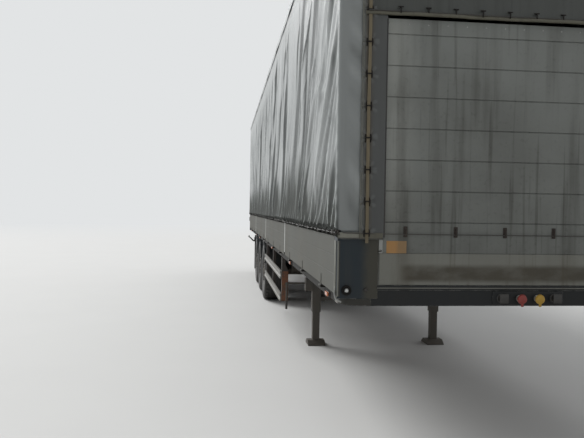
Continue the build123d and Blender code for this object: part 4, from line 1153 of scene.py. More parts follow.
@dataclass
class Folds:
    """Long folds of a hanging sheet, drawn once from a seed: a few broad ones and many narrow ones."""

    seed: int
    length: float
    low: float
    high: float
    kinds: tuple[FoldKind, ...] = (FoldKind((0.4, 0.95), (0.09, 0.16), (0.016, 0.034), 1.5),
                                   FoldKind((0.12, 0.32), (0.020, 0.042), (0.005, 0.014), 1.15))
    lean_rear: float = 0.28
    lean_front: float = 0.85
    front_zone: float = 1.3
    sunk: float = 0.008

    def lines(self) -> list[dict[str, float]]:
        """Places, widths and depths of the folds, from rear to front, kind by kind.

        Returns:
            The values of each fold by name.
        """
        draw = np.random.default_rng(self.seed)
        made = []
        for kind in self.kinds:
            along = -0.6
            while along < self.length + 1.4:
                close = along > self.length - self.front_zone
                share = min(1.0, max(0.0, along / self.length))
                made.append({
                    "place": along,
                    "lean": (self.lean_rear + (self.lean_front - self.lean_rear) * share) * draw.uniform(0.75, 1.2),
                    "width": draw.uniform(*kind.width),
                    "depth": draw.uniform(*kind.depth) * (1.25 if close else 1.0),
                    "crest": kind.crest,
                    "top": draw.uniform(0.5, 1.4),
                    "foot": draw.uniform(-0.4, 0.35),
                    "sway": draw.uniform(-0.05, 0.05),
                    "phase": draw.uniform(0, 6.28),
                })
                along += draw.uniform(*kind.pitch) * (0.6 if close else 1.0)
        return made

    def offset(self, along: np.ndarray, height: np.ndarray) -> np.ndarray:
        """How far the sheet stands out at each point.

        Args:
            along: lengths along the sheet, as a grid.
            height: heights, as a grid of the same shape.

        Returns:
            Offsets in metres, from a little behind the sheet's plane.
        """
        share = (height - self.low) / (self.high - self.low)
        total = np.full_like(along, -self.sunk)
        for fold in self.lines():
            middle = (fold["place"] + fold["lean"] * (height - self.high)
                      + fold["sway"] * np.sin(share * 4 + fold["phase"]) + 0.5)
            reach = (ramp(share - fold["foot"], 0.25) * ramp(fold["top"] - share, 0.25))
            ridge = np.exp(-np.abs((along - middle) / fold["width"]) ** fold["crest"])
            total += fold["depth"] * reach * ridge
        return total


@dataclass
class SideSheet:
    """Side sheet of the cover, which turns the front corner and ends in a strip on the front face."""

    side: Side
    places: Places
    seed: int
    fine_step: float = 0.018
    coarse_step: float = 0.031
    fine_length: float = 3.6
    row_step: float = 0.034
    corner_radius: float = 0.022
    strip_width: float = 0.31
    strip_hem: float = 1.547
    cloth_out: float = 0.004
    outer_limit: float = 0.046
    inner_limit: float = -0.010
    rear_limit: float = 0.009
    rear_zone: Pair = (1.4, 0.6)
    hem_height: float = 0.034
    eyelet_pitch: float = 0.19
    scallop: float = 0.030
    scallop_zone: Pair = (7.5, 3.5)
    gather_length: float = 1.1
    bands: tuple[Pair, ...] = ((11.46, 0.19), (12.33, 0.19))
    band_lean: float = 0.5
    band_level: float = 2.9
    band_depth: float = 0.02
    crossing: tuple[float, float, float] = (12.62, 13.22, 2.61)
    crossing_height: float = 0.014
    gather_height: float = 0.015
    gather_pitch: float = 0.23
    scallop_out: float = 0.007
    pucker_depth: float = 0.0030
    tuck: float = 0.02
    crest_height: float = 0.010
    steep: float = 0.20
    valley_fade: float = 2.6
    band_calm: float = 0.9
    band_dark: float = 1.1
    grid: np.ndarray = field(init=False)
    along: np.ndarray = field(init=False)

    def columns(self) -> np.ndarray:
        """Lengths of the sheet's columns from its rear edge.

        Returns:
            The lengths, from the rear edge to the end of the front strip.
        """
        run = self.run
        fine = run - self.fine_length
        turn = self.corner_radius * math.pi / 2
        total = run + turn + self.strip_width - self.corner_radius
        parts = [np.arange(0, fine, self.coarse_step), np.arange(fine, run, self.fine_step),
                 np.linspace(run, run + turn, 5)[:-1], np.linspace(run + turn, total, 22)]
        return np.concatenate(parts)

    @property
    def run(self) -> float:
        """Length of the straight side, to where the corner begins."""
        return self.places.front - self.corner_radius - self.places.cover_rear

    def base(self, along: np.ndarray) -> tuple[np.ndarray, np.ndarray, np.ndarray, np.ndarray]:
        """Place and outward direction in plan at each length.

        Args:
            along: lengths from the rear edge.

        Returns:
            X and Y of the place, and X and Y of the direction.
        """
        radius = self.corner_radius
        turn = radius * math.pi / 2
        angle = ramp(along - self.run, turn) * math.pi / 2
        past = np.clip(along - self.run - turn, 0, None)
        before = np.clip(along, None, self.run)
        x = self.places.cover_rear + before + radius * np.sin(angle)
        y = self.places.half - radius + radius * np.cos(angle) - past
        return x, y, np.sin(angle), np.cos(angle)

    def offsets(self, along: np.ndarray, height: np.ndarray) -> np.ndarray:
        """Folds, corner gathers, hem scallops and puckers of the sheet.

        Args:
            along: lengths along the sheet, as a grid.
            height: heights, as a grid of the same shape.

        Returns:
            Offsets in metres, within the sheet's limits.
        """
        folds = Folds(self.seed, self.run, self.places.hem, self.places.cover_top)
        out = folds.offset(along, height)
        top_calm = ramp(self.places.cover_top + self.tuck - height, 0.35, 0.12)
        corner_calm = ramp(self.run - along, 0.16)
        rear_calm = ramp(along - 0.02, 0.25)
        out *= top_calm * corner_calm * rear_calm
        hem_calm = ramp(height - self.places.hem, 0.22, 0.15)
        out *= hem_calm
        out += self._gathers(along, height)
        out += self.crossing_height * self._crossing_crease(along, height)
        out -= self.band_depth * self._dark_bands(along, height)
        out += self._scallops(along, height) * corner_calm
        out += self._strip_puckers(along, height)
        return np.clip(out, self.inner_limit, self._limit(along))

    def _limit(self, along: np.ndarray) -> np.ndarray:
        """How far the folds may stand out, less near the rear, where the doors fold back.

        Args:
            along: lengths along the sheet, as a grid.

        Returns:
            The largest offsets in metres.
        """
        start, length = self.rear_zone
        share = ramp(along - start, length)
        return self.rear_limit + (self.outer_limit - self.rear_limit) * share

    def _lift(self, along: np.ndarray, height: np.ndarray) -> np.ndarray:
        """How far the hem is drawn up between the eyelets, most along the front half.

        Args:
            along: lengths along the sheet, as a grid.
            height: heights, as a grid of the same shape.

        Returns:
            Heights to add, in metres.
        """
        start, length = self.scallop_zone
        front = ramp(along - (self.run - start), length, 0.2) * ramp(self.run - along, 0.05)
        near = ramp(self.places.hem + 0.16 - height, 0.16)
        return self.scallop * front * near * (0.5 + 0.5 * np.cos(along / self.eyelet_pitch * 2 * math.pi)) ** 0.7

    def _gathers(self, along: np.ndarray, height: np.ndarray) -> np.ndarray:
        """Short slanting creases that fan back from the front corner.

        Args:
            along: lengths along the sheet, as a grid.
            height: heights, as a grid of the same shape.

        Returns:
            Offsets in metres.
        """
        back = self.run - along
        fade = ramp(back, 0.04) * ramp(self.gather_length - back, self.gather_length) ** 1.5
        slant = height + back * 1.5
        wander = 0.05 * np.sin(height * 3.1 + self.seed) + 0.03 * np.sin(height * 7.7)
        wave = np.abs(np.sin((slant + wander) * math.pi / self.gather_pitch))
        return self.gather_height * (0.6 - wave ** 0.7) * np.where(back > 0, fade, 0)

    def _scallops(self, along: np.ndarray, height: np.ndarray) -> np.ndarray:
        """Small gathers between the eyelets of the hem."""
        near = ramp(self.places.hem + 0.2 - height, 0.2) ** 2
        return self.scallop_out * near * np.cos(along / self.eyelet_pitch * 2 * math.pi)

    def _strip_puckers(self, along: np.ndarray, height: np.ndarray) -> np.ndarray:
        """Shallow slanting dents of the strip on the front face.

        Args:
            along: lengths along the sheet, as a grid.
            height: heights, as a grid of the same shape.

        Returns:
            Offsets in metres.
        """
        past = ramp(along - self.run - 0.05, 0.05)
        dents = np.sin(height * 17 + 3 * np.sin(height * 2.3) + (along - self.run) * 22)
        calm = 0.4 + 0.6 * np.sin(height * 3.7 + 1) ** 2
        return self.pucker_depth * past * calm * dents

    def _crossing_crease(self, along: np.ndarray, height: np.ndarray) -> np.ndarray:
        """One level crease across the folds behind the front corner.

        Args:
            along: lengths along the sheet, as a grid.
            height: heights, as a grid of the same shape.

        Returns:
            Shares from 0 to 1.
        """
        start, end, level = self.crossing
        reach = ramp(along - start, 0.05) * ramp(end - along, 0.05)
        return reach * np.exp(-((height - level - 0.03 * np.sin(along * 9)) / 0.022) ** 2)

    def _dark_bands(self, along: np.ndarray, height: np.ndarray) -> np.ndarray:
        """Broad slanting hollows of the slack cloth, as shares from 0 to 1; they also mark where broad shade is
        painted on the sheet.

        Args:
            along: lengths along the sheet, as a grid.
            height: heights, as a grid of the same shape.

        Returns:
            The shares.
        """
        total = np.zeros_like(along)
        for middle, width in self.bands:
            line = middle + self.band_lean * (height - self.band_level)
            total += np.exp(-((along - line) / width) ** 2)
        return np.clip(total, 0, 1) * ramp(height - self.places.hem - 0.2, 0.6)

    def mark_relief(self, piece: Piece) -> None:
        """Write painted light and shade for each point: highlights on crests, rear-facing slopes, the level crease and
        the corner's edge, towards 1, and shade in hollows, front-facing slopes and the dark bands, towards -1.

        Args:
            piece: the sheet, whose mesh takes the values as an attribute.
        """
        out = np.abs(self.grid[..., 1]) - self.places.half
        height = self.grid[..., 2]
        along = np.broadcast_to(self.along[:, None], out.shape)
        window = np.ones(11) / 11
        soft = np.apply_along_axis(lambda line: np.convolve(line, window, mode="same"), 0, out)
        slope = np.gradient(out, self.along, axis=0)
        # painted light: crests and rear-facing slopes pale, hollows and front-facing slopes shaded
        relief = (out - soft) / self.crest_height + slope / self.steep
        relief = np.where(relief < 0, relief * np.clip((self.run - along) / self.valley_fade, 0.2, 0.9), relief)
        dark = self._dark_bands(along, height)
        # painted shade: broad dark bands over the slack hollows
        relief = relief * (1 - self.band_calm * dark) - self.band_dark * dark
        # painted highlight along the level crease
        relief += 0.9 * self._crossing_crease(along, height)
        relief *= ramp(self.run - along, 0.02) * ramp(along, 0.3)
        # painted highlights and shade on the strip's dents
        relief += 150 * self._strip_puckers(along, height)
        # painted highlight in streaks along the front corner's edge
        edge = np.exp(-((along - self.run - 0.006) / 0.014) ** 2)
        relief += edge * (0.35 + 0.65 * np.sin(height * 21 + 4 * np.sin(height * 3.3)) ** 2)
        write_relief(piece, relief)

    def heights(self) -> np.ndarray:
        """Heights of the sheet's rows, closer together near the hem."""
        low, high = self.places.hem, self.places.cover_top + self.tuck
        return np.concatenate([np.arange(low, low + 0.2, self.row_step / 2),
                               np.arange(low + 0.2, high, self.row_step), [high]])

    def build(self) -> Piece:
        """Returns:
            The sheet.
        """
        self.along = self.columns()
        rows = self.heights()
        along, height = np.meshgrid(self.along, rows, indexing="ij")
        x, y, out_x, out_y = self.base(along)
        past = np.clip((along - self.run) / (self.corner_radius * 2), 0, 1)
        drop = (self.places.hem - self.strip_hem) * past
        bottom = ramp(rows[0] + 0.3 - height, 0.3)
        out = self.offsets(along, height) - self.cloth_out * 0.5
        height = height - drop * bottom + self._lift(along, height)
        self.grid = np.stack([x + out_x * out, (y + out_y * out) * self.side.value, height], axis=-1)
        piece = make_grid(f"cover_sheet_{self.side.word}", self.grid, flip=self.side is Side.RIGHT)
        self.relax(piece)
        self.mark_relief(piece)
        dress(piece, COVER_CLOTH, slot="cover_fabric", angle=60)
        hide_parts(f"cover_{self.side.word}")
        return piece

    def relax(self, piece: Piece) -> None:
        """Hang the sheet from its top edge and its eyelets, and let it settle under its weight.

        Args:
            piece: the sheet, whose mesh takes the settled shape.
        """
        columns, rows = self.grid.shape[:2]
        pinned = np.zeros((columns, rows), bool)
        pinned[:, -1] = True
        pinned[0, :] = True
        pinned[self.along >= self.run - 0.01, :] = True
        hooks = np.arange(self.eyelet_pitch / 2, self.run, self.eyelet_pitch)
        near = np.searchsorted(self.along, hooks)
        pinned[near, :2] = True
        settled = Drape(mass=0.12, stiffness=30, bending=0.6, frames=14, cap=0.016).settle(
            piece, pinned.ravel(), self.grid.reshape(-1, 3))
        limit_out = self.places.half + self._limit(self.along).repeat(rows)
        limit_in = self.places.half + self.inner_limit
        y = np.clip(np.abs(settled[:, 1]), limit_in, limit_out)
        on_side = (self.along < self.run - 0.01).repeat(rows)
        settled[on_side, 1] = (y * self.side.value)[on_side]
        put_points(piece, settled)
        self.grid = settled.reshape(columns, rows, 3)

    def hem(self) -> Piece:
        """A thicker hem along the sheet's lower edge.

        Returns:
            The hem.
        """
        count = int(np.sum(self.heights() < self.places.hem + self.hem_height))
        band = self.grid[:, :count + 1].copy()
        piece = make_grid(f"cover_hem_{self.side.word}", band, flip=self.side is Side.RIGHT)
        Bench.modify(piece, "SOLIDIFY", thickness=0.005, offset=1.0)
        return dress(piece, COVER_CLOTH, slot="cover_fabric", angle=50)

    def at(self, along: float, height: float) -> Vector:
        """Point of the sheet nearest to a length and a height.

        Args:
            along: length from the rear edge.
            height: height above the ground.

        Returns:
            The point.
        """
        column = int(np.argmin(np.abs(self.along - along)))
        row = int(np.argmin(np.abs(self.grid[column, :, 2] - height)))
        return Vector(self.grid[column, row])


@dataclass
class Drape:
    """A short cloth simulation whose result stays near the shape it starts from."""

    mass: float
    stiffness: float
    bending: float
    frames: int
    cap: float
    quality: int = 4
    gravity: float = 0.6

    def settle(self, piece: Piece, pinned: np.ndarray, start: np.ndarray) -> np.ndarray:
        """Let the piece hang.

        Args:
            piece: the sheet.
            pinned: which points are held.
            start: the points' places before.

        Returns:
            The points' places after, each within the cap of its start.
        """
        group = piece.vertex_groups.new(name="held")
        group.add(np.flatnonzero(pinned).tolist(), 1.0, "REPLACE")
        Bench.pick(piece)
        cloth = piece.modifiers.new("drape", "CLOTH")
        cloth.settings.quality = self.quality
        cloth.settings.mass = self.mass
        cloth.settings.tension_stiffness = self.stiffness
        cloth.settings.compression_stiffness = self.stiffness
        cloth.settings.shear_stiffness = self.stiffness / 3
        cloth.settings.bending_stiffness = self.bending
        cloth.settings.vertex_group_mass = "held"
        cloth.settings.effector_weights.gravity = self.gravity
        cloth.collision_settings.use_collision = False
        scene = bpy.context.scene
        for number in range(1, self.frames + 1):
            scene.frame_set(number)
        bpy.ops.object.modifier_apply(modifier=cloth.name)
        scene.frame_set(1)
        after = get_points(piece)
        moved = after - start
        size = np.linalg.norm(moved, axis=1, keepdims=True)
        capped = start + moved * np.minimum(1.0, self.cap / np.maximum(size, 1e-9))
        put_points(piece, capped)
        piece.vertex_groups.clear()
        return capped


def make_grid(name: str, points: np.ndarray, flip: bool = False) -> Piece:
    """A sheet whose points follow a grid.

    Args:
        name: the piece's name.
        points: places of the grid's points, columns first, rows next.
        flip: True to turn the faces round.

    Returns:
        The new piece.
    """
    columns, rows = points.shape[:2]
    Bench.pick()
    bpy.ops.mesh.primitive_grid_add(x_subdivisions=columns - 1, y_subdivisions=rows - 1, size=2)
    piece = Bench.take(name)
    flat = get_points(piece)
    order = np.lexsort((flat[:, 1].round(6), flat[:, 0].round(6)))
    placed = np.empty_like(flat)
    placed[order] = points.reshape(-1, 3)
    mesh = bpy.data.meshes.new(name)
    rank = np.empty(len(order), int)
    rank[order] = np.arange(len(order))
    faces = [[int(rank[corner]) for corner in face.vertices] for face in piece.data.polygons]
    mesh.from_pydata(points.reshape(-1, 3).tolist(), [], faces)
    old = piece.data
    piece.data = mesh
    bpy.data.meshes.remove(old)
    if flip:
        mesh.flip_normals()
    return piece


def get_points(piece: Piece) -> np.ndarray:
    """Places of a mesh's points.

    Args:
        piece: the piece.

    Returns:
        One row for each point.
    """
    places = np.empty(len(piece.data.vertices) * 3)
    piece.data.vertices.foreach_get("co", places)
    return places.reshape(-1, 3)


def put_points(piece: Piece, places: np.ndarray) -> None:
    """Move a mesh's points to new places."""
    piece.data.vertices.foreach_set("co", places.astype(np.float32).ravel())
    piece.data.update()


def write_relief(piece: Piece, relief: np.ndarray) -> None:
    """Store each point's painted light and shade in a mesh, for its finish: a highlight as 1, shade as -1."""
    values = piece.data.attributes.new("relief", "FLOAT", "POINT")
    values.data.foreach_set("value", np.clip(relief, -1, 1).astype(np.float32).ravel())


BOARDS = [f"side_board_{side}_{n}" for side in ("left", "right") for n in range(1, 5)]
CAD_FINISHES = {
    BOARD_ALUMINIUM: BOARDS,
    HEADBOARD_ALUMINIUM: ["headboard"],
    POST_ALUMINIUM: ["side_frame_left", "side_frame_right", "roof_frame"],
    GUARD_ALUMINIUM: ["guard_rails"],
    CORNER_PAINT: ["front_posts"],
    CHASSIS_PAINT: ["main_beams", "cross_members", "suspension_hangers", "coupling_plate", "rear_bumper", "lamp_bar"],
    FRAME_STEEL: ["front_member"],
    RAIL_STEEL: ["side_rails", "board_hinges"],
    POST_STEEL: ["guard_posts"],
    AXLE_PAINT: ["axles", "trailing_arms"],
    LEG_PAINT: ["landing_legs", "landing_drive"],
    TANK_PAINT: ["air_tanks"],
    REAR_PAINT: ["rear_frame"],
    DOOR_PAINT: ["door_left", "door_right"],
    GEAR_STEEL: ["door_gear_left", "door_gear_right", "kingpin"],
    BLACK_RUBBER: ["mud_flaps", "rear_buffers", "outline_lamps"],
    GUARD_PLASTIC: ["mudguards"],
    BLACK_PLASTIC: ["rear_lamps"],
    FLOOR_WOOD: ["floor"],
}


@dataclass
class CadSurfaces:
    """Finishes and softened edges of the solid pieces that stay as they are."""

    nodes: dict[str, Piece]
    edge: float = 0.0016
    sharp: float = 28.0
    weld: float = 0.00002
    soft_nodes: tuple[str, ...] = (
        "headboard", "front_posts", "guard_rails", "guard_posts", "rear_frame", "rear_bumper", "door_left",
        "door_right", "front_member", "side_rails", "landing_legs", "rear_lamps", "rear_buffers", *BOARDS)

    def build(self) -> None:
        """Dress every node that shows."""
        for finish, names in CAD_FINISHES.items():
            for name in names:
                self.paint(self.nodes[name], finish)
        for name in self.soft_nodes:
            self.soften(self.nodes[name])

    @staticmethod
    def paint(node: Piece, finish: Finish) -> None:
        """Put a finish in all material slots of a node.

        Args:
            node: the node's object.
            finish: its finish.
        """
        material = finish.material()
        if not node.material_slots:
            node.data.materials.append(material)
        for holder in node.material_slots:
            holder.material = material

    def soften(self, node: Piece) -> None:
        """Round a node's sharp edges a little.

        Args:
            node: the node's object.
        """
        node.modifiers.new("weld", "WELD").merge_threshold = self.weld
        bevel = node.modifiers.new("soft_edges", "BEVEL")
        bevel.width = self.edge
        bevel.segments = 1
        bevel.limit_method = "ANGLE"
        bevel.angle_limit = math.radians(self.sharp)
        bevel.harden_normals = True


@dataclass
class FrontSheet:
    """Sheet that closes the front above the headboard, over the side strips, with a rolled hem."""

    places: Places
    half: float = 1.107
    bottom: float = 2.960
    proud: float = 0.009
    roll: float = 0.012
    tuck: float = 0.02
    columns: int = 111

    def surface(self, across: np.ndarray, height: np.ndarray) -> np.ndarray:
        """How far the sheet stands ahead of the front plane.

        Args:
            across: places across the trailer, as a grid.
            height: heights, as a grid of the same shape.

        Returns:
            X of each point.
        """
        sag = 0.006 * np.sin(across * 7.0 + np.sin(height * 3)) * ramp(3.9 - height, 0.5)
        pleat = 0.005 * np.cos(across * 2 * math.pi / 0.168) * ramp(3.15 - height, 0.2)
        diagonal = 0.004 * np.abs(np.sin(across * 4.1 + height * 6.3))
        return self.places.front + self.proud + np.clip(sag + pleat + diagonal, -0.004, 0.016)

    def build(self) -> None:
        across = np.linspace(-self.half, self.half, self.columns)
        height = np.linspace(self.bottom, self.places.cover_top + self.tuck, 46)
        y, z = np.meshgrid(across, height, indexing="ij")
        grid = np.stack([self.surface(y, z), y, z], axis=-1)
        piece = make_grid("cover_sheet_front", grid)
        pinned = np.zeros(y.shape, bool)
        pinned[:, -1] = True
        pinned[::8, 0] = True
        pinned[0, :] = True
        pinned[-1, :] = True
        settled = Drape(mass=0.12, stiffness=30, bending=0.6, frames=12, cap=0.008).settle(
            piece, pinned.ravel(), grid.reshape(-1, 3))
        settled[:, 0] = np.clip(settled[:, 0], self.places.front + 0.005, self.places.front + 0.03)
        put_points(piece, settled)
        grid = settled.reshape(grid.shape)
        dress(piece, FRONT_CLOTH, slot="cover_fabric", angle=60)
        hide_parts("cover_front")
        line = [tuple(grid[n, 0] + np.array([0.004, 0, 0])) for n in range(0, self.columns, 5)]
        hem = Bench.pipe("cover_hem_front", line, self.roll)
        dress(hem, FLAP_HEM, slot="cover_fabric", angle=60)


@dataclass
class RoofSheet:
    """Roof sheet over the bows, turned down along the sides and the front."""

    places: Places
    bows: int = 20
    first_bow: float = 0.714
    last_bow: float = 0.594
    sag: float = 0.013
    turn_down: float = 0.092
    edge_radius: float = 0.025
    flap_out: float = 0.006
    flat_half: float = 1.24
    row_step: float = 0.045
    front_radius: float = 0.02

    def bow_places(self) -> np.ndarray:
        """X of every bow."""
        return np.linspace(self.places.front - self.first_bow, self.places.rear + self.last_bow, self.bows)

    def section(self, across: np.ndarray) -> tuple[np.ndarray, np.ndarray]:
        """Y and height of the roof's section at lengths from its middle line.

        Args:
            across: signed lengths along the section.

        Returns:
            Y, and the height below the top.
        """
        radius = self.edge_radius
        flat = self.places.half + self.flap_out - radius
        side = np.sign(across)
        length = np.abs(across)
        angle = np.clip((length - flat) / radius, 0, math.pi / 2)
        down = np.clip(length - flat - radius * math.pi / 2, 0, None)
        y = side * (np.minimum(length, flat) + radius * np.sin(angle))
        return y, radius * (1 - np.cos(angle)) + down

    def build(self) -> None:
        places = self.places
        half_line = (places.half + self.flap_out - self.edge_radius + self.edge_radius * math.pi / 2
                     + self.turn_down - self.edge_radius)
        across = np.concatenate([np.linspace(-half_line, -self.flat_half, 12), np.linspace(-1.2, 1.2, 33),
                                 np.linspace(self.flat_half, half_line, 12)])
        along = np.arange(places.cover_rear, places.front + 0.002, self.row_step)
        along[-1] = places.front + 0.004
        x, w = np.meshgrid(along, across, indexing="ij")
        y, drop = self.section(w)
        bows = np.sort(self.bow_places())
        phase = (x - bows[0]) / np.diff(bows).mean()
        dip = np.clip(np.sin(phase % 1 * math.pi), 0, 1) * self.sag
        inside = ramp(self.flat_half - np.abs(y), 0.25)
        ripple = 0.0035 * np.sin(x * 11 + 3 * np.sin(y * 2.3)) * inside
        z = places.top - 0.001 - drop - dip * inside + np.minimum(ripple, 0)
        flutter = 0.004 * np.sin(x * 5.3) * np.sin(x * 1.7 + 1) * (drop > self.edge_radius * 0.9)
        grid = np.stack([x, y + np.sign(y) * flutter, z], axis=-1)
        piece = make_grid("cover_sheet_roof", grid, flip=True)
        dress(piece, ROOF_CLOTH, slot="cover_fabric", angle=60)
        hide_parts("cover_roof")
        front = self._front_flap()

    def _front_flap(self) -> Piece:
        """The roof sheet's front edge, turned down over the front sheet.

        Returns:
            The flap.
        """
        across = np.linspace(-self.places.half, self.places.half, 90)
        drop = np.concatenate([np.linspace(0, math.pi / 2, 6), [2.2, 3.4, 4.6]])
        y, turn = np.meshgrid(across, drop, indexing="ij")
        radius = self.front_radius
        angle = np.minimum(turn, math.pi / 2)
        down = np.clip(turn - math.pi / 2, 0, None) * 0.026
        x = self.places.front - 0.004 + radius * np.sin(angle) + 0.003 * np.sin(y * 9) * (down > 0)
        z = self.places.top - 0.002 - radius * (1 - np.cos(angle)) - down
        piece = make_grid("cover_flap_front", np.stack([x, y, z], axis=-1))
        return dress(piece, ROOF_CLOTH, slot="cover_fabric", angle=60)


@dataclass
class Lashing:
    """Eyelets, staples, taut lines and loops, and the straps and closing flaps of the front corners."""

    places: Places
    sheets: dict[Side, SideSheet]
    pitch: float = 0.19
    line_height: float = 1.587
    upper_height: float = 2.972
    line_radius: float = 0.0032
    eyelet: Pair = (0.026, 0.017)
    staple_reach: float = 0.016
    side_reach: float = 0.011
    knot: float = 0.0075
    strap_y: float = 1.079
    strap_width: float = 0.020
    strap_pitch: float = 0.199
    first_staple: float = 1.584
    staple_half: float = 0.0165
    strap_bottom: float = 1.524
    strap_top: float = 3.97
    front_loops: tuple[float, ...] = (0.889, 0.711, 0.533, 0.356, 0.178, 0.0)
    flap: Pair = (0.970, 1.1255)
    flap_heights: Pair = (1.549, 3.93)
    seam_heights: Pair = (1.56, 3.92)
    band_outer: float = 1.262
    rope_out: float = 0.012
    stitch_step: float = 0.02
    pucker_ring: Pair = (0.034, 0.020)
    shading_ring: Pair = (0.040, 0.018)
    cloth: float = 0.0022
    low_hooks: tuple[float, ...] = (-0.823, -0.494, -0.165, 0.165, 0.494, 0.823)

    def build(self) -> None:
        """Make all lashing pieces of both sides and the front."""
        for side, sheet in self.sheets.items():
            self._side(side, sheet)
            self._flap(side)
            self._strap(side)
        self._front()

    def _eyelet(self) -> Piece:
        """An oval eyelet facing +Y at the origin.

        Returns:
            The eyelet.
        """
        ring = Bench.turned("eyelet", Axis.Y, (0, 0, 0), [
            (0.55, 0.0), (0.62, 0.0035), (0.8, 0.004), (1.0, 0.0)], steps=14)
        ring.data.transform(Matrix.Diagonal((self.eyelet[0], 1, self.eyelet[1], 1)))
        return ring

    def _staple(self, width: float, reach: float, radius: float) -> Piece:
        """A staple standing out towards +Y, its legs side by side along X, at the origin."""
        points = [(-width, -0.004, 0), (-width, reach * 0.7, 0), (-width * 0.6, reach, 0), (width * 0.6, reach, 0),
                  (width, reach * 0.7, 0), (width, -0.004, 0)]
        return Bench.pipe("staple", points, radius, rounding=1, smooth=False)

    def _side(self, side: Side, sheet: SideSheet) -> None:
        """Eyelets, staples and line along one side.

        Args:
            side: the side.
            sheet: the side sheet that they stand on.
        """
        hooks = np.arange(self.pitch / 2, sheet.run, self.pitch)
        turn = Matrix.Identity(4) if side is Side.LEFT else Matrix.Rotation(math.pi, 4, "Z")
        spots = [sheet.at(along, self.line_height) for along in hooks]
        places = [Matrix.Translation(spot) @ turn for spot in spots]
        eyelets = Bench.copies(f"eyelets_{side.word}", self._eyelet(), places)
        dress(eyelets, EYELET_STEEL)
        upright = [place @ Matrix.Rotation(math.pi / 2, 4, "Y") for place in places]
        staple = self._staple(0.014, self.side_reach, 0.003)
        dress(Bench.copies(f"staples_{side.word}", staple, upright), STAPLE_STEEL)
        out = Vector((0, side.value * (self.side_reach * 0.55), 0))
        corner = sheet.at(sheet.run, self.line_height)
        ahead = self.places.front + self.rope_out
        path = [spot + out for spot in spots]
        path += [(corner.x + self.rope_out, corner.y + side.value * self.rope_out, self.line_height),
                 (ahead, side.value * 1.25, self.line_height),
                 (ahead, side.value * self.strap_y, self.line_height - 0.004)]
        dress(Bench.pipe(f"lash_line_{side.word}", path, self.line_radius, rounding=1), LASHING)
        turns = np.linspace(0, 2 * math.pi, 25)
        spot = np.array([self.places.front + 0.004, side.value * (self.places.half - 0.006), self.line_height + 0.002])
        knot = [tuple(spot + self.knot * np.array([
            math.sin(t) + 2 * math.sin(2 * t), math.cos(t) - 2 * math.cos(2 * t), 2 * math.sin(3 * t)]))
            for t in turns]
        dress(Bench.pipe(f"corner_knot_{side.word}", knot, self.line_radius * 1.2, rounding=1), KNOT_ROPE)

    def _flap(self, side: Side) -> None:
        """Closing flap over the strip, puckered round the strap's staples, with painted highlights and shade on the
        puckers, its seam and its foot band.

        Args:
            side: the side of the trailer.
        """
        inner, outer = self.flap
        across = np.linspace(inner, outer, 29)
        height = np.linspace(*self.flap_heights, 330)
        y, z = np.meshgrid(across, height, indexing="ij")
        above = ((z - self.first_staple) / self.strap_pitch + 0.5) % 1 - 0.5
        above = above * self.strap_pitch
        away = np.abs(y - self.strap_y)
        turn = np.arctan2(above, y - self.strap_y)
        spread = np.hypot(above, away)
        ray = np.abs(np.sin(turn * 3.5 + 0.6 + np.floor(z / self.strap_pitch) * 0.9)) ** 2.5
        middle, width = self.pucker_ring
        pucker = np.exp(-((spread - middle) / width) ** 2) * (0.0065 * ray - 0.003)
        ripple = 0.0016 * np.sin(z * 23 + 5 * y) * np.exp(-(outer - y) / 0.04)
        x = self.places.front + 0.0055 + pucker + ripple
        order = -1 if side is Side.RIGHT else 1
        grid = np.stack([x, y * side.value, z], axis=-1)[::order]
        piece = make_grid(f"cover_closing_flap_{side.word}", grid)
        # painted highlights on the puckers' rays and painted shade between them
        middle, width = self.shading_ring
        relief = np.exp(-((spread - middle) / width) ** 2) * (2.4 * ray - 0.25)
        write_relief(piece, relief[::order])
        Bench.modify(piece, "SOLIDIFY", thickness=self.cloth, offset=1.0)
        dress(piece, FLAP_CLOTH, slot="cover_fabric", angle=50)
        self._flap_edges(side)

    def _flap_edges(self, side: Side) -> None:
        """Double seam down the flap's outer edge, dark welt down its inner edge, and the pale band at the foot.

        Args:
            side: the side of the trailer.
        """
        inner, outer = self.flap
        front = self.places.front
        heights = np.arange(*self.seam_heights, self.stitch_step)
        seams = []
        for place in (outer - 0.003, outer - 0.012):
            points = [(front + 0.0085, side.value * (place + 0.0012 * math.sin(z * 9)), z) for z in heights]
            seams.append(Bench.pipe("seam", points, 0.0016, rounding=0, smooth=False))
        dress(Bench.join(f"flap_seams_{side.word}", seams), HEM_CLOTH)
        for name, low, high, bevel, segments, finish in (
                ("flap_welt", (-0.012, inner - 0.009, 1.56), (0.006, inner + 0.001, 2.93), 0.002, 2, BLACK_RUBBER),
                ("foot_band", (0.0045, outer + 0.002, 1.551), (0.0105, self.band_outer, 1.590), 0.0025, 2, HEM_CLOTH),
                ("flap_band", (0.0045, inner + 0.004, 1.549), (0.0112, outer + 0.001, 1.588), 0.0025, 2, FLAP_HEM),
                ("foot_stitch", (0.010, inner + 0.004, 1.552), (0.0115, self.band_outer, 1.556), 0.0004, 1, LASHING)):
            piece = Bench.block(f"{name}_{side.word}", (front + low[0], *low[1:]), (front + high[0], *high[1:]),
                                bevel, segments)
            if side is Side.RIGHT:
                Bench.turn_over(piece.data)
            dress(piece, finish)

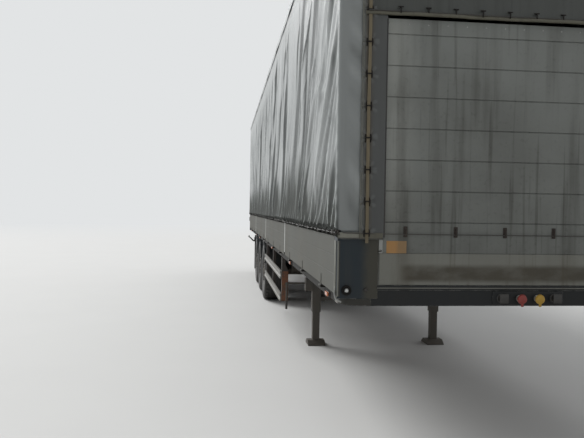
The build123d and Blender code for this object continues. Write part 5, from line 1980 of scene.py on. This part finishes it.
    def _strap(self, side: Side) -> None:
        """Webbing strap down the corner, under a row of staples with a slot at each end.

        Args:
            side: the side of the trailer.
        """
        count = int((self.strap_top - self.first_staple) / self.strap_pitch) + 1
        front = self.places.front + 0.013
        heights = np.linspace(self.strap_bottom, self.strap_top, count * 10)
        share = ((heights - self.first_staple) / self.strap_pitch) % 1
        bulge = 0.0035 * np.sin(share * math.pi) ** 0.7
        widths = np.linspace(-self.strap_width / 2, self.strap_width / 2, 5)
        w, z = np.meshgrid(widths, heights, indexing="ij")
        x = np.tile(front + bulge, (5, 1)) + 0.0012 * np.sin(z * 31 + w * 90)
        y = side.value * self.strap_y + w + 0.0015 * np.sin(z * 5)
        piece = make_grid(f"strap_{side.word}", np.stack([x, y, z], axis=-1))
        Bench.modify(piece, "SOLIDIFY", thickness=self.cloth, offset=0.0)
        dress(piece, WEBBING, angle=50)
        places = [(self.places.front, side.value * self.strap_y, self.first_staple + n * self.strap_pitch)
                  for n in range(count)]
        dress(Bench.copies(f"strap_staples_{side.word}", self._strap_staple(), places), STAPLE_STEEL)

    def _strap_staple(self) -> Piece:
        """A bar across the strap between two upright slotted lugs, facing +X at the origin.

        Returns:
            The staple.
        """
        half = self.staple_half
        parts = [Bench.pipe("bar", [(0.008, -half, 0), (0.019, -half, 0), (0.019, half, 0), (0.008, half, 0)],
                            0.0045, 1, False)]
        for sign in (-1, 1):
            y = sign * half
            parts.append(Bench.pipe("lug", [(0.004, y * 0.95, -0.027), (0.013, y, -0.016), (0.016, y * 1.06, 0),
                                            (0.013, y, 0.016), (0.004, y * 0.95, 0.024)], 0.0042, 1))
        return Bench.join("strap_staple", parts)

    def _front(self) -> None:
        """Line and staples low on the headboard, and loops on the front sheet's hem."""
        face = self.places.wall
        turn = Matrix.Rotation(-math.pi / 2, 4, "Z") @ Matrix.Rotation(math.pi / 2, 4, "Y")
        places = [Matrix.Translation((face, y, self.line_height + 0.010)) @ turn for y in self.low_hooks]
        plate = Bench.block("hook_plate", (-0.034, -0.001, -0.013), (0.034, 0.004, 0.013), 0.003)
        hook = Bench.join("hook", [plate, self._staple(0.022, self.staple_reach, 0.004)])
        dress(Bench.copies("headboard_hooks", hook, places), HOOK_STEEL)
        level = self.line_height - 0.004
        ends = [(self.places.front + self.rope_out, y, level) for y in (-self.strap_y, self.strap_y)]
        middle = [(face + 0.011, y, level - 0.002) for y in self.low_hooks]
        dress(Bench.pipe("lash_line_front", [ends[0], *middle, ends[1]], self.line_radius, rounding=1), LASHING)
        loops = sorted({sign * y for y in self.front_loops for sign in (-1, 1)})
        places = [Matrix.Translation((self.places.front + 0.014, y, self.upper_height + 0.008)) @ turn for y in loops]
        cross = Bench.pipe("cross", [(-0.020, 0.010, -0.017), (-0.020, 0.010, 0.017)], 0.004, 1, False)
        loop = Bench.join("loop", [cross, self._staple(0.019, 0.014, 0.004)])
        dress(Bench.copies("front_hem_loops", loop, places), STAPLE_STEEL)
        upper = [(self.places.front + 0.025, y, self.upper_height) for y in (-1.09, *loops, 1.09)]
        dress(Bench.pipe("upper_line_front", upper, self.line_radius, rounding=1), LASHING)


@dataclass
class FrontWall:
    """Rivets, base sheet, foot strip, patch and brackets of the headboard, and the front corners' edges."""

    places: Places
    rivet_radius: float = 0.006
    plank_base: float = 1.463
    plank_pitch: float = 0.197
    planks: int = 7
    rivet_line: float = 0.975
    cap_line: float = 2.905
    patch_low: Point = (-0.944, 1.4605)
    patch_high: Point = (-0.814, 1.538)
    frame_radius: float = 0.130
    post_side: float = 1.258
    post_heights: Pair = (1.186, 1.535)
    rib_backs: tuple[float, ...] = (0.087, 0.057)
    skin: float = 0.0012

    def build(self) -> None:
        """Make the pieces of the headboard, then those of the corners."""
        self._rivets()
        self._plates()
        self._corner_edges()
        self._frame_corner()

    def _rivets(self) -> None:
        """Rows of rivets down both ends of the planks and along the cap."""
        face = self.places.wall
        rivet = Bench.turned("rivet", Axis.X, (0, 0, 0), [
            (0, 0.003), (0.55 * self.rivet_radius, 0.0026), (self.rivet_radius, 0.0), (self.rivet_radius, -0.002)],
            steps=10)
        spots = []
        for plank in range(self.planks):
            for share in (0.22, 0.75):
                height = self.plank_base + (plank + share) * self.plank_pitch
                spots += [(side * self.rivet_line, height) for side in (-1, 1)]
        spots += [(y, self.cap_line) for y in np.linspace(-0.95, 0.95, 16)]
        rivets = Bench.copies("headboard_rivets", rivet, [(face, y, z) for y, z in spots])
        dress(rivets, POST_ALUMINIUM)

    def _slab(self, name: str, low: Point, high: Point, bevel: float, segments: int = 1) -> Piece:
        """A block on the headboard, with X measured from the headboard's face."""
        face = self.places.wall
        return Bench.block(name, (face + low[0], *low[1:]), (face + high[0], *high[1:]), bevel, segments)

    def _plates(self) -> None:
        """Pale base sheet, dark foot strip as painted shade at the headboard's foot, with its lip, painted patch,
        small brackets and buttons.
        """
        dress(self._slab("base_sheet", (-0.0055, -0.985, 1.259), (-0.0035, 0.985, 1.459), 0.0006), BASE_ALUMINIUM)
        # painted shade: a dark strip for the shaded gap at the headboard's foot
        dress(self._slab("foot_strip", (-0.010, -1.0, 1.2265), (0.002, 1.0, 1.2575), 0.001), FRAME_STEEL)
        dress(self._slab("foot_lip", (-0.008, -1.0, 1.237), (0.0045, 1.0, 1.243), 0.0015), BASE_ALUMINIUM)
        dress(self._slab("front_patch", (-0.001, *self.patch_low), (0.0012, *self.patch_high), 0.0005), PATCH_PAINT)
        pair(self._slab("corner_brackets", (-0.012, -0.993, 1.4605), (0.005, -0.969, 1.550), 0.003, 2),
             POST_ALUMINIUM)
        face = self.places.wall
        pair(Bench.pipe("bracket_hooks", [(face + 0.004, -0.978, 1.476), (face + 0.014, -0.979, 1.474),
                                          (face + 0.016, -0.988, 1.472), (face + 0.008, -0.998, 1.473)], 0.003, 2),
             STAPLE_STEEL)
        button = Bench.turned("corner_button", Axis.X, (face, -1.073, 1.229), [
            (0, 0.012), (0.009, 0.011), (0.013, 0.006), (0.014, 0.0), (0, 0.0)], steps=20)
        pair(button, BLACK_RUBBER, "corner_buttons")

    def _corner_edges(self) -> None:
        """Two pale ribs and a lip down the corner post's side, with a black strip as painted shade in the gap beside
        them, and a hook at the foot.
        """
        y = -self.post_side
        foot, top = self.post_heights
        ribs = []
        for back in self.rib_backs:
            x = self.places.front - back
            ribs.append(Bench.block("rib", (x, y - 0.006, foot), (x + 0.017, y + 0.001, top), 0.003))
        lip = self.places.front - 0.015
        ribs.append(Bench.block("lip", (lip, y + 0.001, foot), (lip + 0.0035, y + 0.011, top), 0.001, 1))
        pair(Bench.join("corner_edges", ribs), BASE_ALUMINIUM)
        # painted shade: a black strip stands in for the shade in the gap beside the lip
        gap = Bench.block("corner_gaps", (lip, y + 0.013, foot), (lip + 0.0015, y + 0.020, top), 0.0005, 1)
        pair(gap, BLACK_RUBBER)
        x = self.places.front - 0.05
        bends = [(x, y - 0.002, 1.246), (x + 0.002, y - 0.009, 1.222), (x + 0.012, y - 0.008, 1.18),
                 (x + 0.028, y + 0.006, 1.158), (x + 0.036, y + 0.03, 1.152)]
        pair(Bench.pipe("corner_hooks", bends, 0.0055, 2), POST_ALUMINIUM)

    def _frame_corner(self) -> None:
        """Worn pale skin of the frame's round corner under the corner plate."""
        low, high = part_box("front_member")
        turn, height = np.meshgrid(np.linspace(-0.3, math.pi / 2 + 0.5, 18), np.linspace(low.z + 0.003, 1.170, 4),
                                   indexing="ij")
        angle = np.clip(turn, 0, math.pi / 2)
        inner = self.frame_radius
        radius = inner + self.skin
        x = high.x - inner + radius * np.sin(angle) + inner * np.minimum(turn, 0)
        y = high.y - inner + radius * np.cos(angle) - inner * np.clip(turn - math.pi / 2, 0, None)
        skin = make_grid("frame_corner_skins", np.stack([x, -y, height], axis=-1))
        Bench.modify(skin, "SOLIDIFY", thickness=self.skin, offset=0.0)
        pair(Bench.close(skin), SKIN_STEEL)


@dataclass
class Lamps:
    """Front and side marker lamps, and the lenses of the outline lamps and the rear lamps."""

    places: Places
    front_y: float = 1.197
    front_z: float = 1.225
    side_backs: tuple[float, ...] = (0.45, 2.914, 5.497, 8.755, 10.065, 12.6)
    rail_face: float = 1.232
    lamp_low: float = 1.127
    lamp_high: float = 1.163
    outline_centre: Point = (-6.729, 1.275, 0.950)
    rear_width: float = 0.36
    rear_margin: float = 0.012

    def build(self) -> None:
        """Make all lamps."""
        middle = (self.places.wall, -self.front_y, self.front_z)
        ring = Bench.turned("front_lamp_ring", Axis.X, middle, [
            (0.014, 0.008), (0.016, 0.018), (0.023, 0.022), (0.030, 0.018), (0.032, 0.0), (0.014, 0.0),
            (0.014, 0.008)], steps=36)
        pair(ring, RING_RUBBER, "front_lamp_rings")
        lens = Bench.turned("front_lens", Axis.X, middle, [
            (0, 0.020), (0.006, 0.019), (0.011, 0.016), (0.0145, 0.009), (0.0145, 0.001), (0, 0.001)], steps=28)
        pair(lens, CLEAR_LENS, "front_lamp_lenses", "lamp_plastic")
        self._side_lamps()
        self._rear_lamps()
        self._outline_lenses()

    def _outline_lenses(self) -> None:
        """White lenses to the front and red ones to the rear on the outline lamps' heads."""
        x, y, z = self.outline_centre
        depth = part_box("outline_lamps")[0].x - x
        for name, start, sign, finish in (("white", x, 1, CLEAR_LENS), ("red", x + depth, -1, RED_LENS)):
            lens = Bench.turned(f"outline_lens_{name}", Axis.X, (start, y, z), [
                (0, 0.007 * sign), (0.012, 0.006 * sign), (0.019, 0.002 * sign), (0.021, -0.004 * sign),
                (0, -0.004 * sign)], steps=24)
            pair(lens, finish, f"outline_lenses_{name}", "lamp_plastic")

    def _side_lamps(self) -> None:
        """Amber lamps on black bases along both rails."""
        x = self.places.front - self.side_backs[0]
        low, top, face = self.lamp_low, self.lamp_high, -self.rail_face
        base = Bench.block("lamp_base", (x - 0.055, face - 0.010, low), (x + 0.055, face + 0.002, top), 0.004)
        glass = Bench.block("lamp_glass", (x - 0.049, face - 0.022, low + 0.004),
                            (x + 0.049, face - 0.006, top - 0.004), 0.005, 3)
        steps = [(self.side_backs[0] - back, 0, 0) for back in self.side_backs]
        bases = pair(Bench.copies("side_lamp_bases", base, steps), BLACK_PLASTIC)
        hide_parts("marker_lamps")
        pair(Bench.copies("side_lamp_glasses", glass, steps), AMBER_LENS, slot="lamp_plastic")

    def _rear_lamps(self) -> None:
        """Ribbed lenses on the rear lamp boxes."""
        low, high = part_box("rear_lamps")
        width = self.rear_width - 2 * self.rear_margin
        outer = high.y - self.rear_margin
        face = low.x
        cuts = [(0.0, 0.30, RED_LENS), (0.30, 0.52, AMBER_LENS), (0.52, 0.70, CLEAR_LENS), (0.70, 1.0, RED_LENS)]
        for number, (start, end, finish) in enumerate(cuts, 1):
            y0 = outer - start * width - 0.003
            y1 = outer - end * width + 0.003
            lens = Bench.block(f"rear_lens_{number}", (face - 0.014, y1, low.z + self.rear_margin),
                               (face + 0.004, y0, high.z - self.rear_margin), 0.006, 3)
            pair(lens, finish, f"rear_lenses_{number}", "lamp_plastic")


@dataclass
class Wheel:
    """A wheel with a ribbed tyre, a steel rim with hand holes, nuts and a hub."""

    radius: float = 0.535
    grooves: tuple[float, ...] = (0.043, 0.103)
    groove_width: float = 0.010
    groove_depth: float = 0.013
    steps: int = 144
    hand_holes: int = 10
    nuts: int = 10
    nut_circle: float = 0.1675
    hole_circle: float = 0.222
    cut_radius: float = 0.5265
    cut_inner: float = 0.112
    cut_depth: float = 0.009

    def _tread_radius(self, across: float) -> float:
        """Radius of the crowned tread at a distance from its middle."""
        return self.radius - 0.006 * (across / 0.155) ** 2

    def tyre_profile(self) -> list[Pair]:
        """Pairs of radius and length across the whole tyre, closed.

        Returns:
            The pairs, from the right-hand bead round to the same bead.
        """
        half = [(0.292, 0.128), (0.2985, 0.147), (0.312, 0.151), (0.330, 0.163), (0.345, 0.172), (0.349, 0.1705),
                (0.36, 0.178), (0.41, 0.190), (0.455, 0.1925), (0.488, 0.187), (0.505, 0.1795), (0.509, 0.1805),
                (0.521, 0.171), (0.5275, 0.160)]
        tread = []
        for place in sorted(self.grooves, reverse=True):
            for across, sunk in ((place + self.groove_width / 2, 0), (place + self.groove_width / 3, 1),
                                 (place - self.groove_width / 3, 1), (place - self.groove_width / 2, 0)):
                tread.append((self._tread_radius(across) - sunk * self.groove_depth, across))
        right = half + tread
        left = [(radius, -across) for radius, across in reversed(right)]
        return right + left + [right[0]]

    def tyre(self) -> Piece:
        """A tyre round the Y axis, with cross cuts in its outer ribs.

        Returns:
            The tyre.
        """
        piece = Bench.turned("tyre", Axis.Y, (0, 0, 0), self.tyre_profile(), self.steps)
        pitch = 2 * math.pi / self.steps

        def cut() -> None:
            """Sink every fourth facet of the outer ribs."""
            bpy.ops.mesh.extrude_region_shrink_fatten(TRANSFORM_OT_shrink_fatten={"value": -self.cut_depth})

        def chosen(face: bpy.types.MeshPolygon) -> bool:
            """Whether a facet is one of the cross cuts.

            Args:
                face: the facet.

            Returns:
                True for every fourth facet of the outer ribs.
            """
            centre = face.center
            radius = math.hypot(centre.x, centre.z)
            step = int(math.floor(math.atan2(centre.z, centre.x) / pitch))
            side = 1 if centre.y > 0 else 0
            outer = radius > self.cut_radius and abs(centre.y) > self.cut_inner
            return outer and (step + 2 * side) % 4 == 0

        return Bench.edit(piece, cut, chosen=chosen)

    def rim(self) -> Piece:
        """A rim shell with a dished disc, drilled by hand holes.

        Returns:
            The rim.
        """
        profile = [
            (0.3005, 0.160), (0.297, 0.163), (0.290, 0.161), (0.284, 0.150), (0.279, 0.126), (0.264, 0.112),
            (0.252, 0.120), (0.238, 0.134), (0.218, 0.148), (0.204, 0.152), (0.140, 0.152), (0.098, 0.152),
            (0.098, 0.138), (0.200, 0.138), (0.216, 0.132), (0.236, 0.116), (0.250, 0.100), (0.254, 0.080),
            (0.258, 0.02), (0.266, -0.02), (0.278, -0.10), (0.284, -0.146), (0.290, -0.161), (0.298, -0.162),
            (0.3005, -0.158), (0.293, -0.146), (0.287, -0.10), (0.272, -0.01), (0.264, 0.03), (0.264, 0.090),
            (0.288, 0.122), (0.293, 0.148), (0.3005, 0.157), (0.3005, 0.160)]
        piece = Bench.turned("rim", Axis.Y, (0, 0, 0), profile, 60)
        hole = Bench.turned("hole", Axis.Y, (0, 0, self.hole_circle), [
            (0, 0.05), (0.021, 0.05), (0.021, 0.2), (0, 0.2)], 18)
        hole.data.transform(Matrix.Translation((0, 0, self.hole_circle)) @ Matrix.Diagonal((1.15, 1, 0.85, 1))
                            @ Matrix.Translation((0, 0, -self.hole_circle)))
        turns = [Matrix.Rotation(2 * math.pi * (n + 0.5) / self.hand_holes, 4, "Y") for n in range(self.hand_holes)]
        return Bench.drill(piece, Bench.copies("holes", hole, turns))

    def hub(self) -> Piece:
        """Hub with its cap, and the brake drum behind the disc.

        Returns:
            The hub with its drum.
        """
        cap = Bench.turned("hub", Axis.Y, (0, 0, 0), [
            (0, 0.190), (0.030, 0.190), (0.052, 0.186), (0.062, 0.180), (0.066, 0.171), (0.066, 0.164), (0.080, 0.163),
            (0.088, 0.159), (0.0975, 0.157), (0.0975, 0.125), (0.13, 0.121), (0.203, 0.114), (0.205, -0.068),
            (0.198, -0.068), (0.198, 0.106), (0.13, 0.110), (0, 0.110)], 48)
        ribs = Bench.block("rib", (-0.006, 0.162, 0.068), (0.006, 0.172, 0.082), 0.002, 1)
        turns = [Matrix.Rotation(2 * math.pi * n / 8, 4, "Y") for n in range(8)]
        return Bench.join("hub", [Bench.copies("ribs", ribs, turns), cap])

    def nut_ring(self) -> Piece:
        """Wheel nuts on their studs, and the valve.

        Returns:
            The nuts with the valve.
        """
        nut = Bench.turned("nut", Axis.Y, (0, 0, self.nut_circle), [
            (0, 0.186), (0.0085, 0.186), (0.0095, 0.182), (0.0095, 0.175), (0.016, 0.175), (0.0175, 0.172),
            (0.0175, 0.157), (0.023, 0.156), (0.023, 0.151), (0, 0.151)], 6)
        stud_turns = [Matrix.Rotation(2 * math.pi * n / self.nuts, 4, "Y") for n in range(self.nuts)]
        nuts = Bench.copies("nuts", nut, stud_turns)
        valve = Bench.pipe("valve", [(0.01, 0.118, 0.272), (0.01, 0.135, 0.262), (0.01, 0.158, 0.255)], 0.004, 2)
        return Bench.join("nuts", [valve, nuts])


AXLES = (1, 2, 3)


@dataclass
class RunningGear:
    """The six wheels and the air springs."""

    wheel: Wheel = field(default_factory=Wheel)

    def build(self) -> None:
        """Make one wheel, and place a copy at every wheel of the frame."""
        parts = {
            "tyre": (self.wheel.tyre(), TYRE_RUBBER, "tyre_rubber"),
            "rim": (self.wheel.rim(), RIM_PAINT, "rim_paint"),
            "hub": (self.wheel.hub(), HUB_STEEL, None),
            "nuts": (self.wheel.nut_ring(), HUB_STEEL, None),
        }
        for part, (model, finish, slot) in parts.items():
            for side in Side:
                for number in AXLES:
                    self._place(part, model, finish, slot, side, number)
            bpy.data.objects.remove(model)
        self._springs()

    @staticmethod
    def _place(part: str, model: Piece, finish: Finish, slot: str | None, side: Side, number: int) -> None:
        """Copy one part of the wheel to one of the six places.

        Args:
            part: the part's name.
            model: the model piece round the Y axis.
            finish: its finish.
            slot: its material slot, if any.
            side: the side of the trailer.
            number: the axle, counted from the front.
        """
        mesh = model.data.copy()
        mesh.transform(Matrix.Rotation(0.7 * number, 4, "Y"))
        if side is Side.RIGHT:
            Bench.turn_over(mesh)
        mesh.transform(Matrix.Translation(wheel_centre(side, number)))
        piece = Bench.put(f"wheel_{part}_{side.word}_{number}", mesh)
        dress(piece, finish, body=f"wheel_{side.word}_{number}", slot=slot)
        if part in ("tyre", "rim"):
            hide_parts(f"{part}_{side.word}_{number}")

    @staticmethod
    def _springs() -> None:
        """Air springs: a bellows of two lobes on a flared piston."""
        low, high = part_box("air_springs")
        radius, ahead = 0.14, 0.38
        tall = high.z - low.z
        profile = [(0, tall), (0.112, tall), (0.118, tall - 0.006), (0.133, tall - 0.028), (0.140, tall - 0.060),
                   (0.135, tall - 0.090), (0.121, tall - 0.108), (0.117, tall - 0.1175), (0.121, tall - 0.127),
                   (0.135, tall - 0.146), (0.140, tall - 0.173), (0.134, tall - 0.203), (0.112, tall - 0.224),
                   (0.088, tall - 0.233), (0.080, 0.040), (0.082, 0.006), (0.080, 0), (0, 0)]
        model = Bench.turned("spring", Axis.Z, (0, 0, 0), profile, 40)
        places = []
        for number in AXLES:
            x = wheel_centre(Side.LEFT, number).x - ahead
            places += [(x, side * (high.y - radius), low.z) for side in (-1, 1)]
        springs = Bench.copies("air_bellows", model, places)
        dress(springs, BLACK_RUBBER, slot="spring_rubber", angle=50)
        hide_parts("air_springs")


@dataclass
class FrontCouplings:
    """Line couplings and electric sockets at the front member."""

    def build(self) -> None:
        """Make two palm couplings and two sockets with lids on a common plate."""
        low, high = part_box("line_couplings")
        middle = (low.z + high.z) / 2
        back = low.x
        plate = Bench.block("coupling_panel", (back, -0.24, middle - 0.045), (back + 0.006, 0.24, middle + 0.045),
                            0.003)
        dress(plate, FRAME_STEEL)
        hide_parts("line_couplings")
        for name, y, finish in (("red", -0.06, RED_PAINT), ("yellow", 0.06, YELLOW_PAINT)):
            self._palm(name, back, y, middle, finish)
        sockets = Bench.turned("sockets", Axis.X, (back, -0.18, middle), [
            (0, 0.046), (0.020, 0.046), (0.026, 0.042), (0.026, 0.010), (0.031, 0.008), (0.031, 0.0), (0, 0.0)], 32)
        lid = Bench.block("lid", (back + 0.044, -0.21, middle - 0.028), (back + 0.052, -0.15, middle + 0.034), 0.005)
        pair(Bench.join("sockets", [lid, sockets]), BLACK_PLASTIC, "electric_sockets")

    @staticmethod
    def _palm(name: str, back: float, y: float, z: float, finish: Finish) -> None:
        """One palm coupling: a metal body and its painted cover.

        Args:
            name: its colour's name.
            back: X of the plate it stands on.
            y: its place across.
            z: its height.
            finish: the cover's paint.
        """
        body = Bench.turned(f"palm_{name}", Axis.X, (back, y, z), [
            (0, 0.05), (0.016, 0.05), (0.020, 0.046), (0.020, 0.034), (0.015, 0.03), (0.015, 0.012), (0.022, 0.010),
            (0.022, 0.0), (0, 0.0)], 28)
        dress(body, COUPLING_METAL, slot="coupling_metal")
        cover = Bench.turned(f"palm_cover_{name}", Axis.X, (back, y, z), [
            (0.0, 0.064), (0.018, 0.064), (0.028, 0.058), (0.032, 0.048), (0.030, 0.044), (0, 0.044)], 28)
        tab = Bench.block("tab", (back + 0.046, y - 0.009, z - 0.048), (back + 0.056, y + 0.009, z - 0.01), 0.004)
        dress(Bench.join(f"palm_cover_{name}", [tab, cover]), finish)


@dataclass
class RearEnd:
    """Seals, hinge bolts and grips of the doors, the rods' keepers, the number plate and the triangles."""

    places: Places
    seal: float = 0.016
    strap_face: float = -6.800
    hinge_heights: tuple[float, ...] = (1.439, 2.188, 2.937, 3.686)
    bolt_sides: tuple[float, ...] = (1.118, 1.150, 1.182)
    rods: Pair = (0.3, 0.9)
    grip_heights: Pair = (1.715, 1.753)
    grip_reach: Pair = (0.17, 0.282)
    plate_half: float = 0.26
    plate_heights: Pair = (0.893, 1.002)
    plate_rim: Pair = (0.008, 0.004)

    def build(self) -> None:
        """Make the pieces of each door, then those of the lamp bar."""
        for side in Side:
            self._seal(side)
            self._keepers(side)
            self._grips(side)
            self._hinge_bolts(side)
        self._plate()

    def _hinge_bolts(self, side: Side) -> None:
        """Round bolt heads on the hinge straps.

        Args:
            side: the side of the trailer.
        """
        bolt = Bench.turned("bolt", Axis.X, (0, 0, 0), [
            (0, -0.0035), (0.006, -0.003), (0.0085, 0.0), (0.0085, 0.002), (0, 0.002)], steps=12)
        places = [(self.strap_face, side.value * y, z) for z in self.hinge_heights for y in self.bolt_sides]
        dress(Bench.copies(f"hinge_bolts_{side.word}", bolt, places), GEAR_STEEL, body=f"door_{side.word}")

    def _plate(self) -> None:
        """Blank number plate and red triangular reflectors on the lamp bar."""
        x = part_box("lamp_bar")[0].x
        half, (foot, top) = self.plate_half, self.plate_heights
        plate = Bench.block("number_plate", (x - 0.0035, -half, foot), (x + 0.001, half, top), 0.0012)
        dress(plate, PLATE_PAINT)
        wide, tall = half + self.plate_rim[0], self.plate_rim[1]
        holder = Bench.block("plate_holder", (x - 0.002, -wide, foot - tall), (x + 0.0005, wide, top + tall),
                             0.0008, 1)
        dress(holder, BLACK_PLASTIC)
        points = [(x + 0.001, y, z) for y, z in ((0.56, 0.898), (0.68, 0.898), (0.62, 1.000))]
        triangle = Bench.profiled("rear_triangles", points, (-0.007, 0, 0), 0.002)
        pair(triangle, RED_LENS, slot="lamp_plastic")

    def _seal(self, side: Side) -> None:
        """Rubber seal round a door leaf.

        Args:
            side: the side of the trailer.
        """
        low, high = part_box(f"door_{side.word}")
        face = low.x - 0.004
        bars = [((low.y, low.z), (low.y + self.seal, high.z)), ((high.y - self.seal, low.z), (high.y, high.z)),
                ((low.y, low.z), (high.y, low.z + self.seal)), ((low.y, high.z - self.seal), (high.y, high.z))]
        made = [Bench.block("seal", (face, a[0], a[1]), (face + 0.008, b[0], b[1]), 0.003) for a, b in bars]
        dress(Bench.join(f"door_seal_{side.word}", made), BLACK_RUBBER, body=f"door_{side.word}")

    def _keepers(self, side: Side) -> None:
        """Keepers on the sill and the header, round the rods' ends.

        Args:
            side: the side of the trailer.
        """
        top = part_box("rear_frame")[1].z
        made = []
        for y in [side.value * place for place in self.rods]:
            for z in (self.places.floor_top - 0.085, top - 0.07):
                for shift in (-0.034, 0.034):
                    made.append(Bench.block("keeper", (self.places.rear - 0.045, y + shift - 0.006, z),
                                            (self.places.rear + 0.006, y + shift + 0.006, z + 0.05), 0.003))
        dress(Bench.join(f"rod_keepers_{side.word}", made), GEAR_STEEL)

    def _grips(self, side: Side) -> None:
        """Plastic grips on the ends of the rods' handles.

        Args:
            side: the side of the trailer.
        """
        foot, top = self.grip_heights
        x = self.places.rear - 0.024
        made = []
        for place, inward in zip(self.rods, (1, -1)):
            y0, y1 = sorted(side.value * (place + inward * reach) for reach in self.grip_reach)
            made.append(Bench.block("grip", (x - 0.016, y0, foot), (x + 0.016, y1, top), 0.006, 3))
        dress(Bench.join(f"handle_grips_{side.word}", made), BLACK_PLASTIC, body=f"door_{side.word}")


@dataclass
class ChassisTrim:
    """Edge ribs of the mudguards, guard plates, the crank's grip, and fixed air lines with their clips."""

    guard_radius: float = 0.580
    guard_sweep: float = math.radians(70)
    guard_sides: Pair = (0.824, 1.216)
    line_side: float = 0.63
    line_height: float = 1.10
    line_ends: Pair = (-3.9, 3.01)
    clip_pitch: float = 0.6
    clips: int = 12

    def build(self) -> None:
        """Make all trim of the chassis."""
        self._mudguard_ribs()
        self._guard_plates()
        self._grip()
        self._air_lines()

    def _mudguard_ribs(self) -> None:
        """Rolled edges of the six mudguards."""
        made = []
        for number in AXLES:
            middle = wheel_centre(Side.LEFT, number)
            for y in self.guard_sides:
                points = [(middle.x + self.guard_radius * math.sin(turn), y,
                           middle.z + self.guard_radius * math.cos(turn))
                          for turn in np.linspace(-self.guard_sweep, self.guard_sweep, 37)]
                made.append(Bench.pipe("rib", points, 0.0045, rounding=1, smooth=False))
        pair(Bench.join("mudguard_ribs", made), GUARD_PLASTIC)

    @staticmethod
    def _guard_plates() -> None:
        """Rusty plates that close the guard rails' front ends."""
        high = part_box("guard_posts")[1]
        pair(Bench.block("guard_plates", (high.x - 0.001, -high.y, 0.545), (high.x + 0.002, -high.y + 0.085, 0.925),
                         0.001, 1), RUSTY_STEEL)

    @staticmethod
    def _grip() -> None:
        """Sleeve on the crank of the landing legs."""
        low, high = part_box("landing_drive")
        grip = Bench.turned("crank_grip", Axis.Z, ((low.x + high.x) / 2, low.y + 0.012, low.z), [
            (0, 0.001), (0.012, 0.001), (0.0155, 0.006), (0.0155, 0.098), (0.012, 0.104), (0, 0.104)], steps=20)
        dress(grip, BLACK_PLASTIC)

    def _air_lines(self) -> None:
        """Two fixed air lines and their clips along each beam's web."""
        made = []
        for drop in (0.0, 0.022):
            points = [(x, self.line_side, self.line_height - drop - 0.004 * math.sin(x * 2.1) ** 2)
                      for x in np.arange(*self.line_ends, 0.3)]
            made.append(Bench.pipe("line", points, 0.0055, rounding=1))
        pair(Bench.join("air_lines", made), BLACK_RUBBER)
        clip = Bench.block("clip", (-3.90, self.line_side - 0.009, self.line_height - 0.032),
                           (-3.88, self.line_side + 0.009, self.line_height + 0.009), 0.002, 1)
        pair(Bench.row(clip, self.clips, (self.clip_pitch, 0, 0)), GEAR_STEEL, "line_clips")


def main() -> None:
    """Build the trailer piece by piece, then the stage and the camera."""
    logging.basicConfig(level=logging.INFO, format="%(message)s")
    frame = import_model()
    places = Places.read()
    PhotoCamera().build()
    Studio().build()
    CadSurfaces(frame["nodes"]).build()
    LOG.info("solid pieces painted")
    for piece in (FrontWall(places), Lamps(places), RunningGear(), FrontCouplings(), RearEnd(places), ChassisTrim()):
        piece.build()
        LOG.info("%s built", type(piece).__name__)
    sheets = {side: SideSheet(side, places, seed=11 if side is Side.RIGHT else 23) for side in Side}
    for side, sheet in sheets.items():
        piece = sheet.build()
        hem = sheet.hem()
        LOG.info("side sheet %s hung", side.word)
    for piece in (FrontSheet(places), RoofSheet(places), Lashing(places, sheets)):
        piece.build()
        LOG.info("%s built", type(piece).__name__)


if __name__ == "__main__":
    main()
